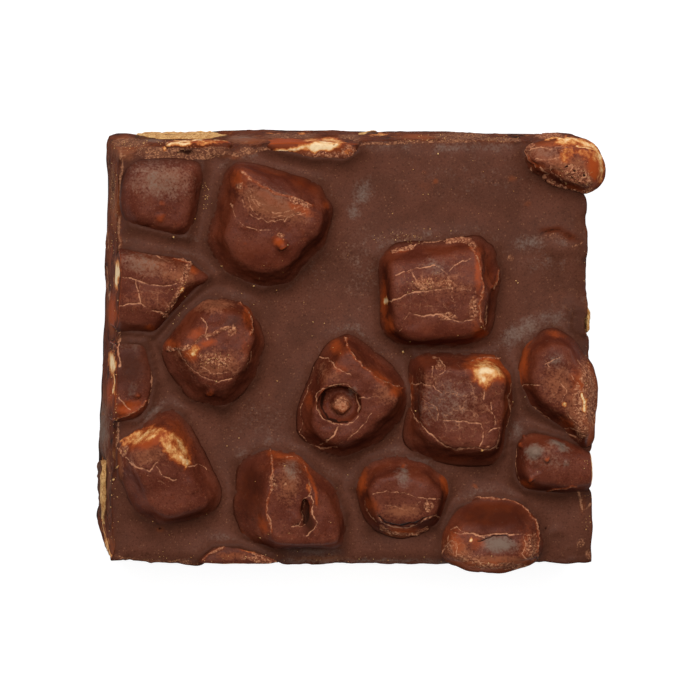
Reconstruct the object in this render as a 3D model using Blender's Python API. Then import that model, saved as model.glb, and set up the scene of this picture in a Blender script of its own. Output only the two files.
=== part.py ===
"""A cut square of rocky road: milk chocolate set round coated marshmallows and pieces of biscuit.

Lengths are written in millimetres and turned into metres by MM. X runs along the longer side of
the square, Y along the shorter side and Z up. The square lies on its flat underside.
"""

import math
from collections import namedtuple

import bmesh
import bpy
import numpy as np
from mathutils import Euler, Matrix, Vector, noise

MM = 0.001

# Driving sizes of the chocolate
SLAB_TOP = 20.0
TOP_EDGE_DROP = 0.6
CUT_ROUGHNESS = 0.28
CORNER_ROUNDING = 0.014
CORNER_SHARE = 0.1
GRID_X = 46
GRID_Y = 42
WALL_LEVELS = (0.96, 0.72, 0.44, 0.18, 0.0)
CUT_GRAIN = 2.3
WALL_BULGE = 0.35
FOOT_TUCK = 0.15

# Sides of the square as (place along the side, offset at the top, offset at the base)
LEFT_SIDE = ((-31.8, -35.3, -34.9), (-23.0, -35.5, -36.8), (-13.0, -35.1, -36.5),
             (0.0, -34.7, -35.8), (15.0, -34.8, -35.4), (31.2, -34.3, -35.1))
RIGHT_SIDE = ((-31.8, 36.4, 35.8), (-14.0, 36.2, 35.6), (2.0, 35.7, 35.4),
              (12.0, 35.4, 35.2), (31.2, 35.4, 35.2))
NEAR_SIDE = ((-35.4, -31.5, -30.6), (-20.0, -32.2, -31.2), (-2.0, -31.9, -31.0),
             (13.0, -32.2, -31.4), (27.0, -32.2, -31.4), (36.4, -31.5, -30.8))
FAR_SIDE = ((-34.4, 30.9, 31.2), (-15.0, 30.9, 31.5), (-5.0, 31.1, 31.5),
            (12.0, 31.2, 31.4), (35.4, 30.8, 30.9))

# The far edge is broken away in a slope at its left end
CHIPPED_EDGE_Y = 28.9
CHIPPED_EDGE_END_X = -13.5
CHIPPED_EDGE_SLOPE = 0.75

# Chocolate climbs where it touches a marshmallow, and swells over what lies just under it
CLIMB = 0.8
CLIMB_REACH = 1.3
MOST_CLIMB = 1.2
Swell = namedtuple("Swell", "x y half_length half_width height")
SWELLS = (Swell(31.5, 15.0, 4.2, 3.4, 0.7),
          Swell(-31.0, 17.0, 3.5, 4.0, 0.9),
          Swell(7.8, -30.0, 5.0, 3.0, 0.9),
          Swell(34.0, -26.0, 2.6, 3.0, 0.5))
RIPPLE = 0.22
RIPPLE_LENGTH = 11.0

# Marshmallows
CLEARANCE = 0.3
EDGE_RADIUS = 1.0
DEPTH = 5.0
CUT_DEPTH = 9.5
ROUNDED_FOOT = 2.2
BEYOND_LEFT = -38.5
BEYOND_RIGHT = 38.5
BEYOND_NEAR = -35.0
BEYOND_FAR = 35.0

# A wall runs from its corner to the next one, and leans inwards by so many degrees above the
# chocolate that climbs it. A top slopes down towards its azimuth, and has its height over the middle.
Wall = namedtuple("Wall", "x y lean")
Top = namedtuple("Top", "height azimuth slope")
Marshmallow = namedtuple("Marshmallow", "name walls tops radius depth cut level",
                         defaults=(EDGE_RADIUS, DEPTH, None, SLAB_TOP))

MARSHMALLOWS = (
    Marshmallow("marshmallow_far_left_corner",
                (Wall(-33.2, 28.3, 20), Wall(-22.1, 28.7, 10), Wall(-24.5, 17.0, 24), Wall(-33.2, 19.0, 10)),
                (Top(3.6, 240, 4),), radius=1.5),
    Marshmallow("marshmallow_far_left",
                (Wall(-17.4, 28.3, 6), Wall(-5.0, 24.9, 10), Wall(-2.9, 21.4, 14), Wall(-4.4, 15.6, 24),
                 Wall(-9.2, 10.4, 28), Wall(-13.4, 9.5, 26), Wall(-18.9, 12.0, 22), Wall(-21.3, 16.8, 20),
                 Wall(-19.0, 25.8, 12)),
                (Top(6.4, 245, 9), Top(14.8, 60, 55))),
    Marshmallow("marshmallow_left_upper",
                (Wall(BEYOND_LEFT, 16.4, 12), Wall(-24.2, 13.9, 32), Wall(-21.4, 11.3, 22),
                 Wall(-29.6, 2.6, 30), Wall(BEYOND_LEFT, 3.6, 12)),
                (Top(4.6, 250, 5), Top(5.4, 265, 22)), radius=0.8, depth=CUT_DEPTH, cut="left"),
    Marshmallow("marshmallow_left_middle",
                (Wall(-28.4, 1.2, 20), Wall(-24.6, 6.0, 20), Wall(-21.6, 8.1, 14), Wall(-15.4, 6.9, 16),
                 Wall(-13.2, 1.5, 20), Wall(-14.5, -4.0, 28), Wall(-19.0, -8.3, 32), Wall(-24.0, -6.8, 32),
                 Wall(-27.0, -2.8, 28)),
                (Top(6.2, 60, 4), Top(6.4, 240, 18), Top(7.0, 130, 22))),
    Marshmallow("marshmallow_left_edge",
                (Wall(BEYOND_LEFT, 1.2, 16), Wall(-30.8, 1.6, 22), Wall(-29.3, -4.2, 26),
                 Wall(-30.2, -8.3, 30), Wall(-31.8, -10.3, 36), Wall(BEYOND_LEFT, -10.6, 10)),
                (Top(2.6, 15, 6),), radius=1.2, depth=CUT_DEPTH, cut="left"),
    Marshmallow("marshmallow_near_left",
                (Wall(-34.1, -13.9, 14), Wall(-27.8, -8.8, 24), Wall(-25.4, -9.4, 30), Wall(-22.4, -15.4, 16),
                 Wall(-19.7, -21.3, 18), Wall(-20.9, -24.0, 16), Wall(-28.4, -26.0, 24),
                 Wall(-31.8, -24.2, 26), Wall(-34.1, -18.8, 12)),
                (Top(5.6, 250, 9), Top(6.6, 300, 18))),
    Marshmallow("marshmallow_near_slit",
                (Wall(-13.4, -14.8, 18), Wall(-7.6, -15.8, 28), Wall(-2.7, -20.2, 24), Wall(-1.0, -24.8, 12),
                 Wall(-1.4, -29.6, 12), Wall(-11.4, -29.8, 14), Wall(-15.8, -27.8, 34),
                 Wall(-17.3, -23.6, 35), Wall(-16.4, -16.8, 32)),
                (Top(5.6, 0, 12),), radius=0.8),
    Marshmallow("marshmallow_hollow",
                (Wall(-2.8, 1.1, 12), Wall(0.2, 2.3, 20), Wall(5.7, -2.6, 14), Wall(8.2, -6.0, 8),
                 Wall(7.2, -10.4, 24), Wall(3.0, -14.2, 24), Wall(-0.9, -15.8, 22), Wall(-4.8, -14.6, 20),
                 Wall(-7.4, -12.2, 18), Wall(-7.5, -9.0, 16), Wall(-5.3, -2.7, 16)),
                (Top(6.0, 235, 7), Top(7.4, 285, 20))),
    Marshmallow("marshmallow_centre_block",
                (Wall(4.3, 13.8, 14), Wall(6.9, 15.5, 22), Wall(18.8, 16.8, 20), Wall(21.4, 15.0, 28),
                 Wall(22.5, 11.6, 16), Wall(20.5, 2.4, 14), Wall(17.8, 0.9, 12), Wall(8.3, 0.8, 12),
                 Wall(5.2, 3.0, 12)),
                (Top(6.4, 270, 5), Top(7.2, 90, 22))),
    Marshmallow("marshmallow_heart_block",
                (Wall(9.6, -0.7, 12), Wall(21.8, -1.1, 16), Wall(24.3, -3.6, 16), Wall(24.3, -7.6, 14),
                 Wall(22.8, -15.6, 22), Wall(21.6, -16.9, 24), Wall(10.2, -15.6, 22), Wall(9.0, -13.4, 12),
                 Wall(9.3, -2.6, 12)),
                (Top(6.2, 265, 5),)),
    Marshmallow("marshmallow_right_oval",
                (Wall(30.0, 3.2, 20), Wall(33.6, 1.2, 20), Wall(36.2, -3.0, 14), Wall(37.1, -7.4, 12),
                 Wall(36.5, -11.5, 16), Wall(34.5, -12.7, 22), Wall(30.6, -11.1, 22), Wall(27.0, -8.6, 22),
                 Wall(25.4, -4.4, 20), Wall(26.5, 0.8, 20)),
                (Top(5.4, 200, 5),), radius=1.2, depth=8.0),
    Marshmallow("marshmallow_right_gloss",
                (Wall(24.8, -13.8, 24), Wall(27.0, -12.0, 26), Wall(32.0, -13.3, 28),
                 Wall(BEYOND_RIGHT, -16.4, 20), Wall(BEYOND_RIGHT, -21.2, 22), Wall(31.4, -21.7, 24),
                 Wall(26.2, -21.2, 22), Wall(24.6, -19.2, 20)),
                (Top(4.4, 320, 7),), radius=1.3, depth=8.0, cut="right"),
    Marshmallow("marshmallow_near_middle",
                (Wall(3.3, -16.6, 24), Wall(7.2, -16.0, 24), Wall(11.6, -17.2, 22), Wall(14.8, -19.6, 16),
                 Wall(14.8, -21.4, 14), Wall(12.9, -26.4, 16), Wall(3.2, -26.2, 14), Wall(0.8, -20.4, 16)),
                (Top(5.8, 270, 7), Top(6.8, 80, 16))),
    Marshmallow("marshmallow_near_bulge",
                (Wall(15.9, -23.6, 38), Wall(21.0, -22.4, 40), Wall(25.4, -22.8, 38), Wall(28.0, -25.4, 26),
                 Wall(28.9, -29.6, 14), Wall(27.6, -31.9, 10), Wall(22.4, -33.2, 8), Wall(17.6, -32.9, 10),
                 Wall(13.7, -31.4, 14), Wall(13.9, -27.0, 24)),
                (Top(4.6, 90, 6),), depth=8.5),
    Marshmallow("marshmallow_near_sliver",
                (Wall(-23.0, -31.2, 20), Wall(-20.6, -29.2, 28), Wall(-16.4, -29.3, 28),
                 Wall(-10.9, -31.2, 20), Wall(-10.9, BEYOND_NEAR, 10), Wall(-23.0, BEYOND_NEAR, 10)),
                (Top(1.9, 90, 8),), radius=0.7, depth=8.0, cut="near"),
    Marshmallow("marshmallow_far_right_corner",
                (Wall(25.9, 30.0, 20), Wall(29.5, 31.2, 14), Wall(33.0, 31.5, 12), Wall(36.5, 30.3, 12),
                 Wall(37.9, 27.3, 12), Wall(37.3, 24.8, 12), Wall(35.4, 23.9, 16), Wall(31.2, 25.1, 16),
                 Wall(27.2, 27.0, 18)),
                (Top(4.2, 110, 8),), radius=1.2, depth=10.0),
    Marshmallow("marshmallow_far_sliver",
                (Wall(-12.6, BEYOND_FAR, 10), Wall(1.0, BEYOND_FAR, 16), Wall(1.3, 30.0, 24),
                 Wall(-0.8, 28.7, 20), Wall(-6.0, 28.9, 18), Wall(-12.6, 30.4, 12)),
                (Top(1.6, 270, 6),), radius=0.6, depth=8.0, cut="far"),
    Marshmallow("marshmallow_far_side",
                (Wall(-27.4, 29.8, 12), Wall(-27.4, BEYOND_FAR, 6), Wall(-17.8, BEYOND_FAR, 6),
                 Wall(-17.8, 29.8, 12)),
                (Top(0.2, 90, 22),), radius=0.7, depth=5.4, cut="far", level=18.8),
)

# Where a cut went through a marshmallow, its face lies in the side of the square
CUTS = {"left": (Vector((-35.5, 0.0, 20.0)), Vector((-1.0, 0.03, 0.05))),
        "right": (Vector((36.2, 0.0, 20.0)), Vector((1.0, 0.0, -0.02))),
        "near": (Vector((0.0, -31.9, 20.0)), Vector((0.0, -1.0, -0.04))),
        "far": (Vector((0.0, 31.3, 20.0)), Vector((0.0, 1.0, 0.02)))}

# One marshmallow has a small lump on its top, one a torn hollow with a bead of chocolate in it
# and one a slit
LUMP_MIDDLE = Vector((-10.5, 16.2, 26.1))
LUMP_RADIUS = 1.1
HOLLOW_MIDDLE = Vector((-2.1, -7.6, 25.8))
HOLLOW_HALF_SIZES = (3.4, 2.9, 3.2)
BEAD_MIDDLE = Vector((-1.6, -7.7, 23.4))
BEAD_RADIUS = 1.7
SLIT_MIDDLE = Vector((-7.1, -23.9, 25.2))
SLIT_HALF_SIZES = (0.65, 2.1, 2.2)

# Pieces of biscuit bedded in the cut sides: the side that each shows in, its middle, half sizes,
# turn about Z and tilt about X. Its corners are broken off at angles seen from its side, up to a
# share of its reach that way.
Biscuit = namedtuple("Biscuit", "name side x y z half_x half_y half_z turn tilt breaks")
BISCUITS = (Biscuit("biscuit_far_side", "far", -24.3, 29.0, 6.6, 7.1, 2.9, 3.4, 0, 4,
                    ((40, 0.86), (160, 0.9), (-35, 0.8), (-130, 0.84))),
            Biscuit("biscuit_far_middle", "far", 4.0, 29.9, 5.4, 1.7, 1.9, 2.2, 8, 8,
                    ((50, 0.8), (-140, 0.82))),
            Biscuit("biscuit_left_side", "left", -34.2, -22.6, 7.0, 2.6, 5.0, 4.6, 3, -4,
                    ((45, 0.78), (140, 0.86), (-60, 0.84), (-150, 0.8))),
            Biscuit("biscuit_right_edge", "right", 34.6, 4.2, 17.2, 1.5, 1.9, 3.0, -4, 6,
                    ((55, 0.85), (-50, 0.75), (-160, 0.85))),
            Biscuit("biscuit_right_side", "right", 33.6, 14.5, 7.4, 2.4, 5.6, 3.6, 2, 5,
                    ((35, 0.8), (130, 0.84), (-140, 0.78), (-40, 0.88))),
            Biscuit("biscuit_near_side", "near", 2.5, -29.2, 6.2, 6.4, 2.4, 3.2, -2, -4,
                    ((150, 0.82), (55, 0.86), (-30, 0.78), (-120, 0.88))))
BISCUIT_EDGE_RADIUS = 0.5
MOUTH_DEPTH = 4.0

# Colours
CHOCOLATE = (0.118, 0.043, 0.026)
COATED_MARSHMALLOW = (0.165, 0.058, 0.033)
BAKED = (0.52, 0.31, 0.14)

SHARP_ANGLE = math.radians(35.0)
FLAT_ANGLE = math.radians(4.0)
SMALLEST_EDGE = 0.005
NEAR_SHARE = 0.25
UNCUT_BLOCK = 200.0


def clear_scene():
    for thing in list(bpy.data.objects):
        bpy.data.objects.remove(thing, do_unlink=True)


def finish(name, colour, roughness):
    material = bpy.data.materials.new(name)
    material.use_nodes = True
    shader = material.node_tree.nodes["Principled BSDF"]
    shader.inputs["Base Color"].default_value = (*colour, 1.0)
    shader.inputs["Roughness"].default_value = roughness
    shader.inputs["Metallic"].default_value = 0.0
    return material


def new_object(name, bm, material=None):
    bmesh.ops.recalc_face_normals(bm, faces=bm.faces[:])
    mesh = bpy.data.meshes.new(name)
    bm.to_mesh(mesh)
    bm.free()
    if material:
        mesh.materials.append(material)
    thing = bpy.data.objects.new(name, mesh)
    bpy.context.scene.collection.objects.link(thing)
    return thing


def cut_off(bm, place, outward):
    """Takes away what lies outside a plane and closes the cut."""
    bmesh.ops.bisect_plane(bm, geom=bm.verts[:] + bm.edges[:] + bm.faces[:], plane_co=place,
                           plane_no=outward, clear_outer=True)
    rim = [edge for edge in bm.edges if edge.is_boundary]
    if rim:
        bmesh.ops.edgeloop_fill(bm, edges=rim)


def block_between(planes):
    """The solid inside a set of planes, each a unit normal and its distance from the origin."""
    bm = bmesh.new()
    bmesh.ops.create_cube(bm, size=UNCUT_BLOCK)
    for normal, distance in planes:
        cut_off(bm, normal * distance, normal)
    bmesh.ops.recalc_face_normals(bm, faces=bm.faces[:])
    bm.normal_update()
    return bm


def rounded_block(planes, radius):
    """The same solid with round edges: a slightly smaller block, grown by a ball's radius."""
    core = block_between([(normal, distance - radius) for normal, distance in planes])
    points = []
    for vertex in core.verts:
        normals = [face.normal.copy() for face in vertex.link_faces]
        for edge in vertex.link_edges:
            first, second = (face.normal for face in edge.link_faces)
            if first.angle(second) > SHARP_ANGLE:
                normals.append(first + second)
        points += [vertex.co + normal.normalized() * radius for normal in normals]
    core.free()
    bm = bmesh.new()
    for point in points:
        bm.verts.new(point)
    bmesh.ops.remove_doubles(bm, verts=bm.verts[:], dist=radius * NEAR_SHARE)
    hull = bmesh.ops.convex_hull(bm, input=bm.verts[:])
    spare = {item for key in ("geom_interior", "geom_unused") for item in hull[key]
             if isinstance(item, bmesh.types.BMVert)}
    bmesh.ops.delete(bm, geom=list(spare), context="VERTS")
    bmesh.ops.dissolve_limit(bm, angle_limit=FLAT_ANGLE, verts=bm.verts[:], edges=bm.edges[:])
    return bm


def middle_of(walls):
    return Vector((sum(wall.x for wall in walls), sum(wall.y for wall in walls), 0.0)) / len(walls)


def outline_edges(walls):
    """Corner, outward direction and lean of each wall of an outline."""
    middle = middle_of(walls)
    for wall, following in zip(walls, walls[1:] + walls[:1]):
        corner = Vector((wall.x, wall.y, 0.0))
        outward = Vector((following.y - wall.y, wall.x - following.x, 0.0)).normalized()
        if outward.dot(corner - middle) < 0.0:
            outward.negate()
        yield corner, outward, math.radians(wall.lean)


def below_planes(lump, grow):
    """The part of a marshmallow that lies in the chocolate: upright walls and a floor, with the
    edges between them taken off where they show at a side of the square."""
    down = Vector((0.0, 0.0, -1.0))
    planes = [(down, lump.depth - lump.level + grow)]
    for corner, outward, _ in outline_edges(lump.walls):
        planes.append((outward, outward.dot(corner) + grow))
        if lump.depth > DEPTH:
            slanted = (outward + down).normalized()
            start = corner - down * (lump.level - lump.depth + ROUNDED_FOOT)
            planes.append((slanted, slanted.dot(start) + grow))
    return planes


def above_planes(lump):
    """The walls that lean inwards above the chocolate that climbs them, and the tops."""
    planes = []
    for corner, outward, lean in outline_edges(lump.walls):
        foot = corner + Vector((0.0, 0.0, lump.level + CLIMB))
        normal = outward * math.cos(lean) + Vector((0.0, 0.0, math.sin(lean)))
        planes.append((normal, normal.dot(foot)))
    for top in lump.tops:
        azimuth = math.radians(top.azimuth)
        slope = math.radians(top.slope)
        normal = Vector((math.cos(azimuth) * math.sin(slope), math.sin(azimuth) * math.sin(slope),
                         math.cos(slope)))
        summit = middle_of(lump.walls) + Vector((0.0, 0.0, lump.level + top.height))
        planes.append((normal, normal.dot(summit)))
    return planes


def marshmallow(lump):
    bm = rounded_block(below_planes(lump, 0.0) + above_planes(lump), lump.radius)
    if lump.cut:
        place, outward = CUTS[lump.cut]
        cut_off(bm, place, outward.normalized())
    return bm


def biscuit_planes(piece, grow, mouth=0.0):
    """The faces and breaks of a piece of biscuit, grown all round, and by more at the mouth in its side."""
    turn = Euler((math.radians(piece.tilt), 0.0, math.radians(piece.turn))).to_matrix()
    middle = Vector((piece.x, piece.y, piece.z))
    side = CUTS[piece.side][1].normalized()
    planes = []
    for axis, half in zip(turn.transposed(), (piece.half_x, piece.half_y, piece.half_z)):
        for normal in (axis.copy(), -axis):
            more = mouth if normal.dot(side) > math.cos(SHARP_ANGLE) else 0.0
            planes.append((normal, normal.dot(middle) + half + grow + more))
    along, half_along = turn.col[0], piece.half_x
    if abs(side.x) > abs(side.y):
        along, half_along = turn.col[1], piece.half_y
    for degrees, share in piece.breaks:
        across, up = math.cos(math.radians(degrees)), math.sin(math.radians(degrees))
        normal = along * across + turn.col[2] * up
        reach = abs(across) * half_along + abs(up) * piece.half_z
        planes.append((normal, normal.dot(middle) + reach * share + grow))
    return planes


def side_offset(side, place, height):
    """How far out a side of the square is, at a place along it and a share of the height."""
    places, tops, bases = zip(*side)
    top = np.interp(place, places, tops)
    base = np.interp(place, places, bases)
    return float(base + (top - base) * height)


def near_end(share):
    """One at either end of a side, falling to nought a little way in."""
    return max(0.0, 1.0 - (1.0 - abs(2.0 * share - 1.0)) / CORNER_SHARE)


def footprint(across, along, height):
    """A point of the square from its shares across and along, at a share of the height."""
    place_y = NEAR_SIDE[0][1] + (FAR_SIDE[0][1] - NEAR_SIDE[0][1]) * along
    place_x = LEFT_SIDE[0][1] + (RIGHT_SIDE[0][1] - LEFT_SIDE[0][1]) * across
    left = side_offset(LEFT_SIDE, place_y, height)
    right = side_offset(RIGHT_SIDE, place_y, height)
    near = side_offset(NEAR_SIDE, place_x, height)
    far = side_offset(FAR_SIDE, place_x, height)
    into_corner = near_end(across) * near_end(along)
    shrink = 1.0 - CORNER_ROUNDING * into_corner
    return Vector(((left + (right - left) * across) * shrink, (near + (far - near) * along) * shrink, 0.0))


def distance_outside(lump, point):
    """Distance from a point to a marshmallow's outline, nought inside it."""
    return max(0.0, max(outward.dot(point - corner) for corner, outward, _ in outline_edges(lump.walls)))


def surface_height(point):
    """Height of the chocolate's top over a point of the footprint."""
    z = SLAB_TOP + RIPPLE * noise.noise(point / RIPPLE_LENGTH)
    climb = sum(CLIMB * math.exp(-distance_outside(lump, point) / CLIMB_REACH)
                for lump in MARSHMALLOWS if lump.level == SLAB_TOP)
    z += min(climb, MOST_CLIMB)
    for swell in SWELLS:
        reach = ((point.x - swell.x) / swell.half_length) ** 2 + ((point.y - swell.y) / swell.half_width) ** 2
        z += swell.height * math.exp(-reach)
    if point.x < CHIPPED_EDGE_END_X:
        z -= max(0.0, point.y - CHIPPED_EDGE_Y) * CHIPPED_EDGE_SLOPE
    return z


def chocolate():
    """A grid for the uneven top, rings for the cut sides and one flat face underneath."""
    bm = bmesh.new()
    top = {}
    for i in range(GRID_X + 1):
        for j in range(GRID_Y + 1):
            point = footprint(i / GRID_X, j / GRID_Y, 1.0)
            point.z = surface_height(point)
            if i in (0, GRID_X) or j in (0, GRID_Y):
                point.z -= TOP_EDGE_DROP
            top[i, j] = bm.verts.new(point)
    for i in range(GRID_X):
        for j in range(GRID_Y):
            bm.faces.new((top[i, j], top[i + 1, j], top[i + 1, j + 1], top[i, j + 1]))
    rim = ([(i, 0) for i in range(GRID_X)] + [(GRID_X, j) for j in range(GRID_Y)]
           + [(i, GRID_Y) for i in range(GRID_X, 0, -1)] + [(0, j) for j in range(GRID_Y, 0, -1)])
    above = [top[place] for place in rim]
    for level in WALL_LEVELS:
        ring = []
        for i, j in rim:
            point = footprint(i / GRID_X, j / GRID_Y, level)
            outward = point.normalized()
            point.z = top[i, j].co.z * level
            bulge = CUT_ROUGHNESS * noise.noise(point / CUT_GRAIN)
            bulge += WALL_BULGE if level > 0.0 else -FOOT_TUCK
            ring.append(bm.verts.new(point + outward * bulge))
        for k in range(len(ring)):
            bm.faces.new((above[k], above[k - 1], ring[k - 1], ring[k]))
        above = ring
    bm.faces.new(above)
    return bm


def keep_evaluated(thing):
    """Puts the result of an object's modifiers in place of its mesh."""
    evaluated = thing.evaluated_get(bpy.context.evaluated_depsgraph_get())
    mesh = bpy.data.meshes.new_from_object(evaluated)
    thing.modifiers.clear()
    thing.data = mesh


def combine(thing, tools, operation):
    """A Boolean of one object with a collection of closed tools, which it uses up."""
    collection = bpy.data.collections.new("tools")
    bpy.context.scene.collection.children.link(collection)
    for bm in tools:
        tool = new_object("tool", bm)
        bpy.context.scene.collection.objects.unlink(tool)
        collection.objects.link(tool)
    boolean = thing.modifiers.new(operation.lower(), "BOOLEAN")
    boolean.operand_type = "COLLECTION"
    boolean.collection = collection
    boolean.operation = operation
    boolean.solver = "EXACT"
    keep_evaluated(thing)
    for tool in list(collection.objects):
        bpy.data.objects.remove(tool, do_unlink=True)
    bpy.data.collections.remove(collection)


def ball(middle, half_sizes):
    bm = bmesh.new()
    bmesh.ops.create_icosphere(bm, subdivisions=2, radius=1.0)
    bmesh.ops.scale(bm, vec=half_sizes, verts=bm.verts[:])
    bmesh.ops.translate(bm, vec=middle, verts=bm.verts[:])
    return bm


def tidy_mesh(thing):
    bm = bmesh.new()
    bm.from_mesh(thing.data)
    bmesh.ops.remove_doubles(bm, verts=bm.verts[:], dist=SMALLEST_EDGE)
    bmesh.ops.dissolve_degenerate(bm, dist=SMALLEST_EDGE, edges=bm.edges[:])
    bmesh.ops.triangulate(bm, faces=bm.faces[:], quad_method="BEAUTY", ngon_method="BEAUTY")
    bm.to_mesh(thing.data)
    bm.free()
    thing.data.shade_smooth()
    thing.data.set_sharp_from_angle(angle=SHARP_ANGLE)


def place_on_origin(things):
    """Brings the middle of the box's underside to the origin and turns millimetres into metres."""
    corners = [vertex.co for thing in things for vertex in thing.data.vertices]
    low = [min(corner[axis] for corner in corners) for axis in range(3)]
    high = [max(corner[axis] for corner in corners) for axis in range(3)]
    shift = Vector((-(low[0] + high[0]) / 2.0, -(low[1] + high[1]) / 2.0, -low[2]))
    for thing in things:
        thing.data.transform(Matrix.Scale(MM, 4) @ Matrix.Translation(shift))
    print("moved by", [round(value, 3) for value in shift], "mm")


def main():
    clear_scene()
    brown = finish("chocolate", CHOCOLATE, 0.45)
    coat = finish("coated_marshmallow", COATED_MARSHMALLOW, 0.4)
    baked = finish("baked_biscuit", BAKED, 0.8)
    slab = new_object("chocolate_slab", chocolate(), brown)
    pieces = {}
    pockets = []
    for lump in MARSHMALLOWS:
        pieces[lump.name] = new_object(lump.name, marshmallow(lump), coat)
        pockets.append(block_between(below_planes(lump, CLEARANCE)))
    for piece in BISCUITS:
        block = rounded_block(biscuit_planes(piece, 0.0), BISCUIT_EDGE_RADIUS)
        pieces[piece.name] = new_object(piece.name, block, baked)
        pockets.append(block_between(biscuit_planes(piece, CLEARANCE, MOUTH_DEPTH)))
    combine(pieces["marshmallow_far_left"], [ball(LUMP_MIDDLE, (LUMP_RADIUS,) * 3)], "UNION")
    combine(pieces["marshmallow_hollow"], [ball(HOLLOW_MIDDLE, HOLLOW_HALF_SIZES)], "DIFFERENCE")
    combine(pieces["marshmallow_hollow"], [ball(BEAD_MIDDLE, (BEAD_RADIUS,) * 3)], "UNION")
    combine(pieces["marshmallow_near_slit"], [ball(SLIT_MIDDLE, SLIT_HALF_SIZES)], "DIFFERENCE")
    combine(slab, pockets, "DIFFERENCE")
    things = [slab, *pieces.values()]
    for thing in things:
        tidy_mesh(thing)
    place_on_origin(things)
    print(len(things), "pieces,", sum(len(thing.data.polygons) for thing in things), "triangles")


main()
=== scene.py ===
# %% [markdown]
# Rocky road, a cut square of it. Milk chocolate holds marshmallows in thin chocolate coats, and
# pieces of biscuit show in its cut sides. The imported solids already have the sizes, places and
# main forms. This lesson dresses them: each solid gets a finer mesh over the same form, then small
# relief, then marks such as cracks, torn rims and bare marshmallow, which the materials turn into
# colours.

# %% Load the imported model
import math
from collections import namedtuple
from functools import partial

import bpy
import numpy as np
from mathutils import Matrix, Vector
from mathutils.bvhtree import BVHTree
from mathutils.kdtree import KDTree


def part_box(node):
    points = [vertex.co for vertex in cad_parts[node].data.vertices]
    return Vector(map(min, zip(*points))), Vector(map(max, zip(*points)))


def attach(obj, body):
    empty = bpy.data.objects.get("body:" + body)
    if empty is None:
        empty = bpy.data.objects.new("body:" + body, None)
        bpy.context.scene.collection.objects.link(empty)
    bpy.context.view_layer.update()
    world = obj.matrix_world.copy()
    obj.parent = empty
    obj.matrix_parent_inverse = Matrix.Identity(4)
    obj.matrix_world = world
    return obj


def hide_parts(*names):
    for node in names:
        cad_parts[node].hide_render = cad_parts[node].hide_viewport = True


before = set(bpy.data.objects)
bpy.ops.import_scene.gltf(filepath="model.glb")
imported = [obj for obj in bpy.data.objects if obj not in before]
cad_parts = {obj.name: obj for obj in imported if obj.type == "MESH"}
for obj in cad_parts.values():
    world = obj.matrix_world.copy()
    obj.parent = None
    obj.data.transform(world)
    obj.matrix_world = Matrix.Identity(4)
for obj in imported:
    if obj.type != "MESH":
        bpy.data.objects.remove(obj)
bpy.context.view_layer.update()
MM = 0.001

# %% [markdown]
# The camera looks straight down but for a few degrees, so that the left side and the far side just
# show. It stands far off with a long lens, which keeps the square's sides parallel. Its direction is
# built from two tilts, because that is how the strips of side that show were measured.

# %% Camera
PICTURE_SIZE = 700
PIXEL = 0.15
PICTURE_MIDDLE = Vector((-0.395, 0.513, 20.0)) * MM
TILT_LEFT = math.radians(4.5)
TILT_FAR = math.radians(5.0)
CAMERA_DISTANCE = 2.0
SENSOR = 36.0

back = Vector((-math.tan(TILT_LEFT), math.tan(TILT_FAR), 1.0)).normalized()
right = Vector((0.0, 1.0, 0.0)).cross(back).normalized()
up = back.cross(right)
camera_place = PICTURE_MIDDLE + back * CAMERA_DISTANCE

camera_data = bpy.data.cameras.new("camera")
camera_data.sensor_width = SENSOR
camera_data.lens = SENSOR * CAMERA_DISTANCE / (PICTURE_SIZE * PIXEL * MM)
camera_data.clip_end = 10.0
camera = bpy.data.objects.new("camera", camera_data)
camera.matrix_world = Matrix.Translation(camera_place) @ Matrix((right, up, back)).transposed().to_4x4()
bpy.context.scene.collection.objects.link(camera)
bpy.context.scene.camera = camera
print("lens in mm:", round(camera_data.lens, 1))


def seen_at(points):
    """Where points in millimetres lie in the picture, in its pixels from the top left corner."""
    away = points * MM - np.array(camera_place)
    depth = -(away @ np.array(back))
    scale = PICTURE_SIZE * camera_data.lens / SENSOR
    across = PICTURE_SIZE / 2 + away @ np.array(right) / depth * scale
    down = PICTURE_SIZE / 2 - away @ np.array(up) / depth * scale
    return np.stack((across, down), axis=1)


# %% [markdown]
# A few helpers come before the first piece. Mesh points are read into numpy in millimetres, because
# moving fifty thousand points one by one in Python is slow. The noise is a plain lattice noise with
# its own seed, so the relief comes out the same on every run.

# %% Helpers for meshes
def only(piece):
    bpy.ops.object.select_all(action="DESELECT")
    piece.select_set(True)
    bpy.context.view_layer.objects.active = piece


def apply_modifier(piece, kind, **settings):
    only(piece)
    bpy.ops.object.modifier_add(type=kind)
    modifier = piece.modifiers[-1]
    for name, value in settings.items():
        setattr(modifier, name, value)
    bpy.ops.object.modifier_apply(modifier=modifier.name)


def points_of(piece):
    flat = np.empty(len(piece.data.vertices) * 3, np.float32)
    piece.data.vertices.foreach_get("co", flat)
    return flat.reshape(-1, 3).astype(float) / MM


def put_points(piece, points):
    piece.data.vertices.foreach_set("co", (points * MM).astype(np.float32).ravel())
    piece.data.update()


def normals_of(piece):
    flat = np.empty(len(piece.data.vertices) * 3, np.float32)
    piece.data.vertex_normals.foreach_get("vector", flat)
    return flat.reshape(-1, 3).astype(float)


def neighbours_of(piece):
    flat = np.empty(len(piece.data.edges) * 2, np.int32)
    piece.data.edges.foreach_get("vertices", flat)
    ends = flat.reshape(-1, 2)
    one = np.concatenate((ends[:, 0], ends[:, 1]))
    other = np.concatenate((ends[:, 1], ends[:, 0]))
    return one, other, np.bincount(one, minlength=len(piece.data.vertices))


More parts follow.
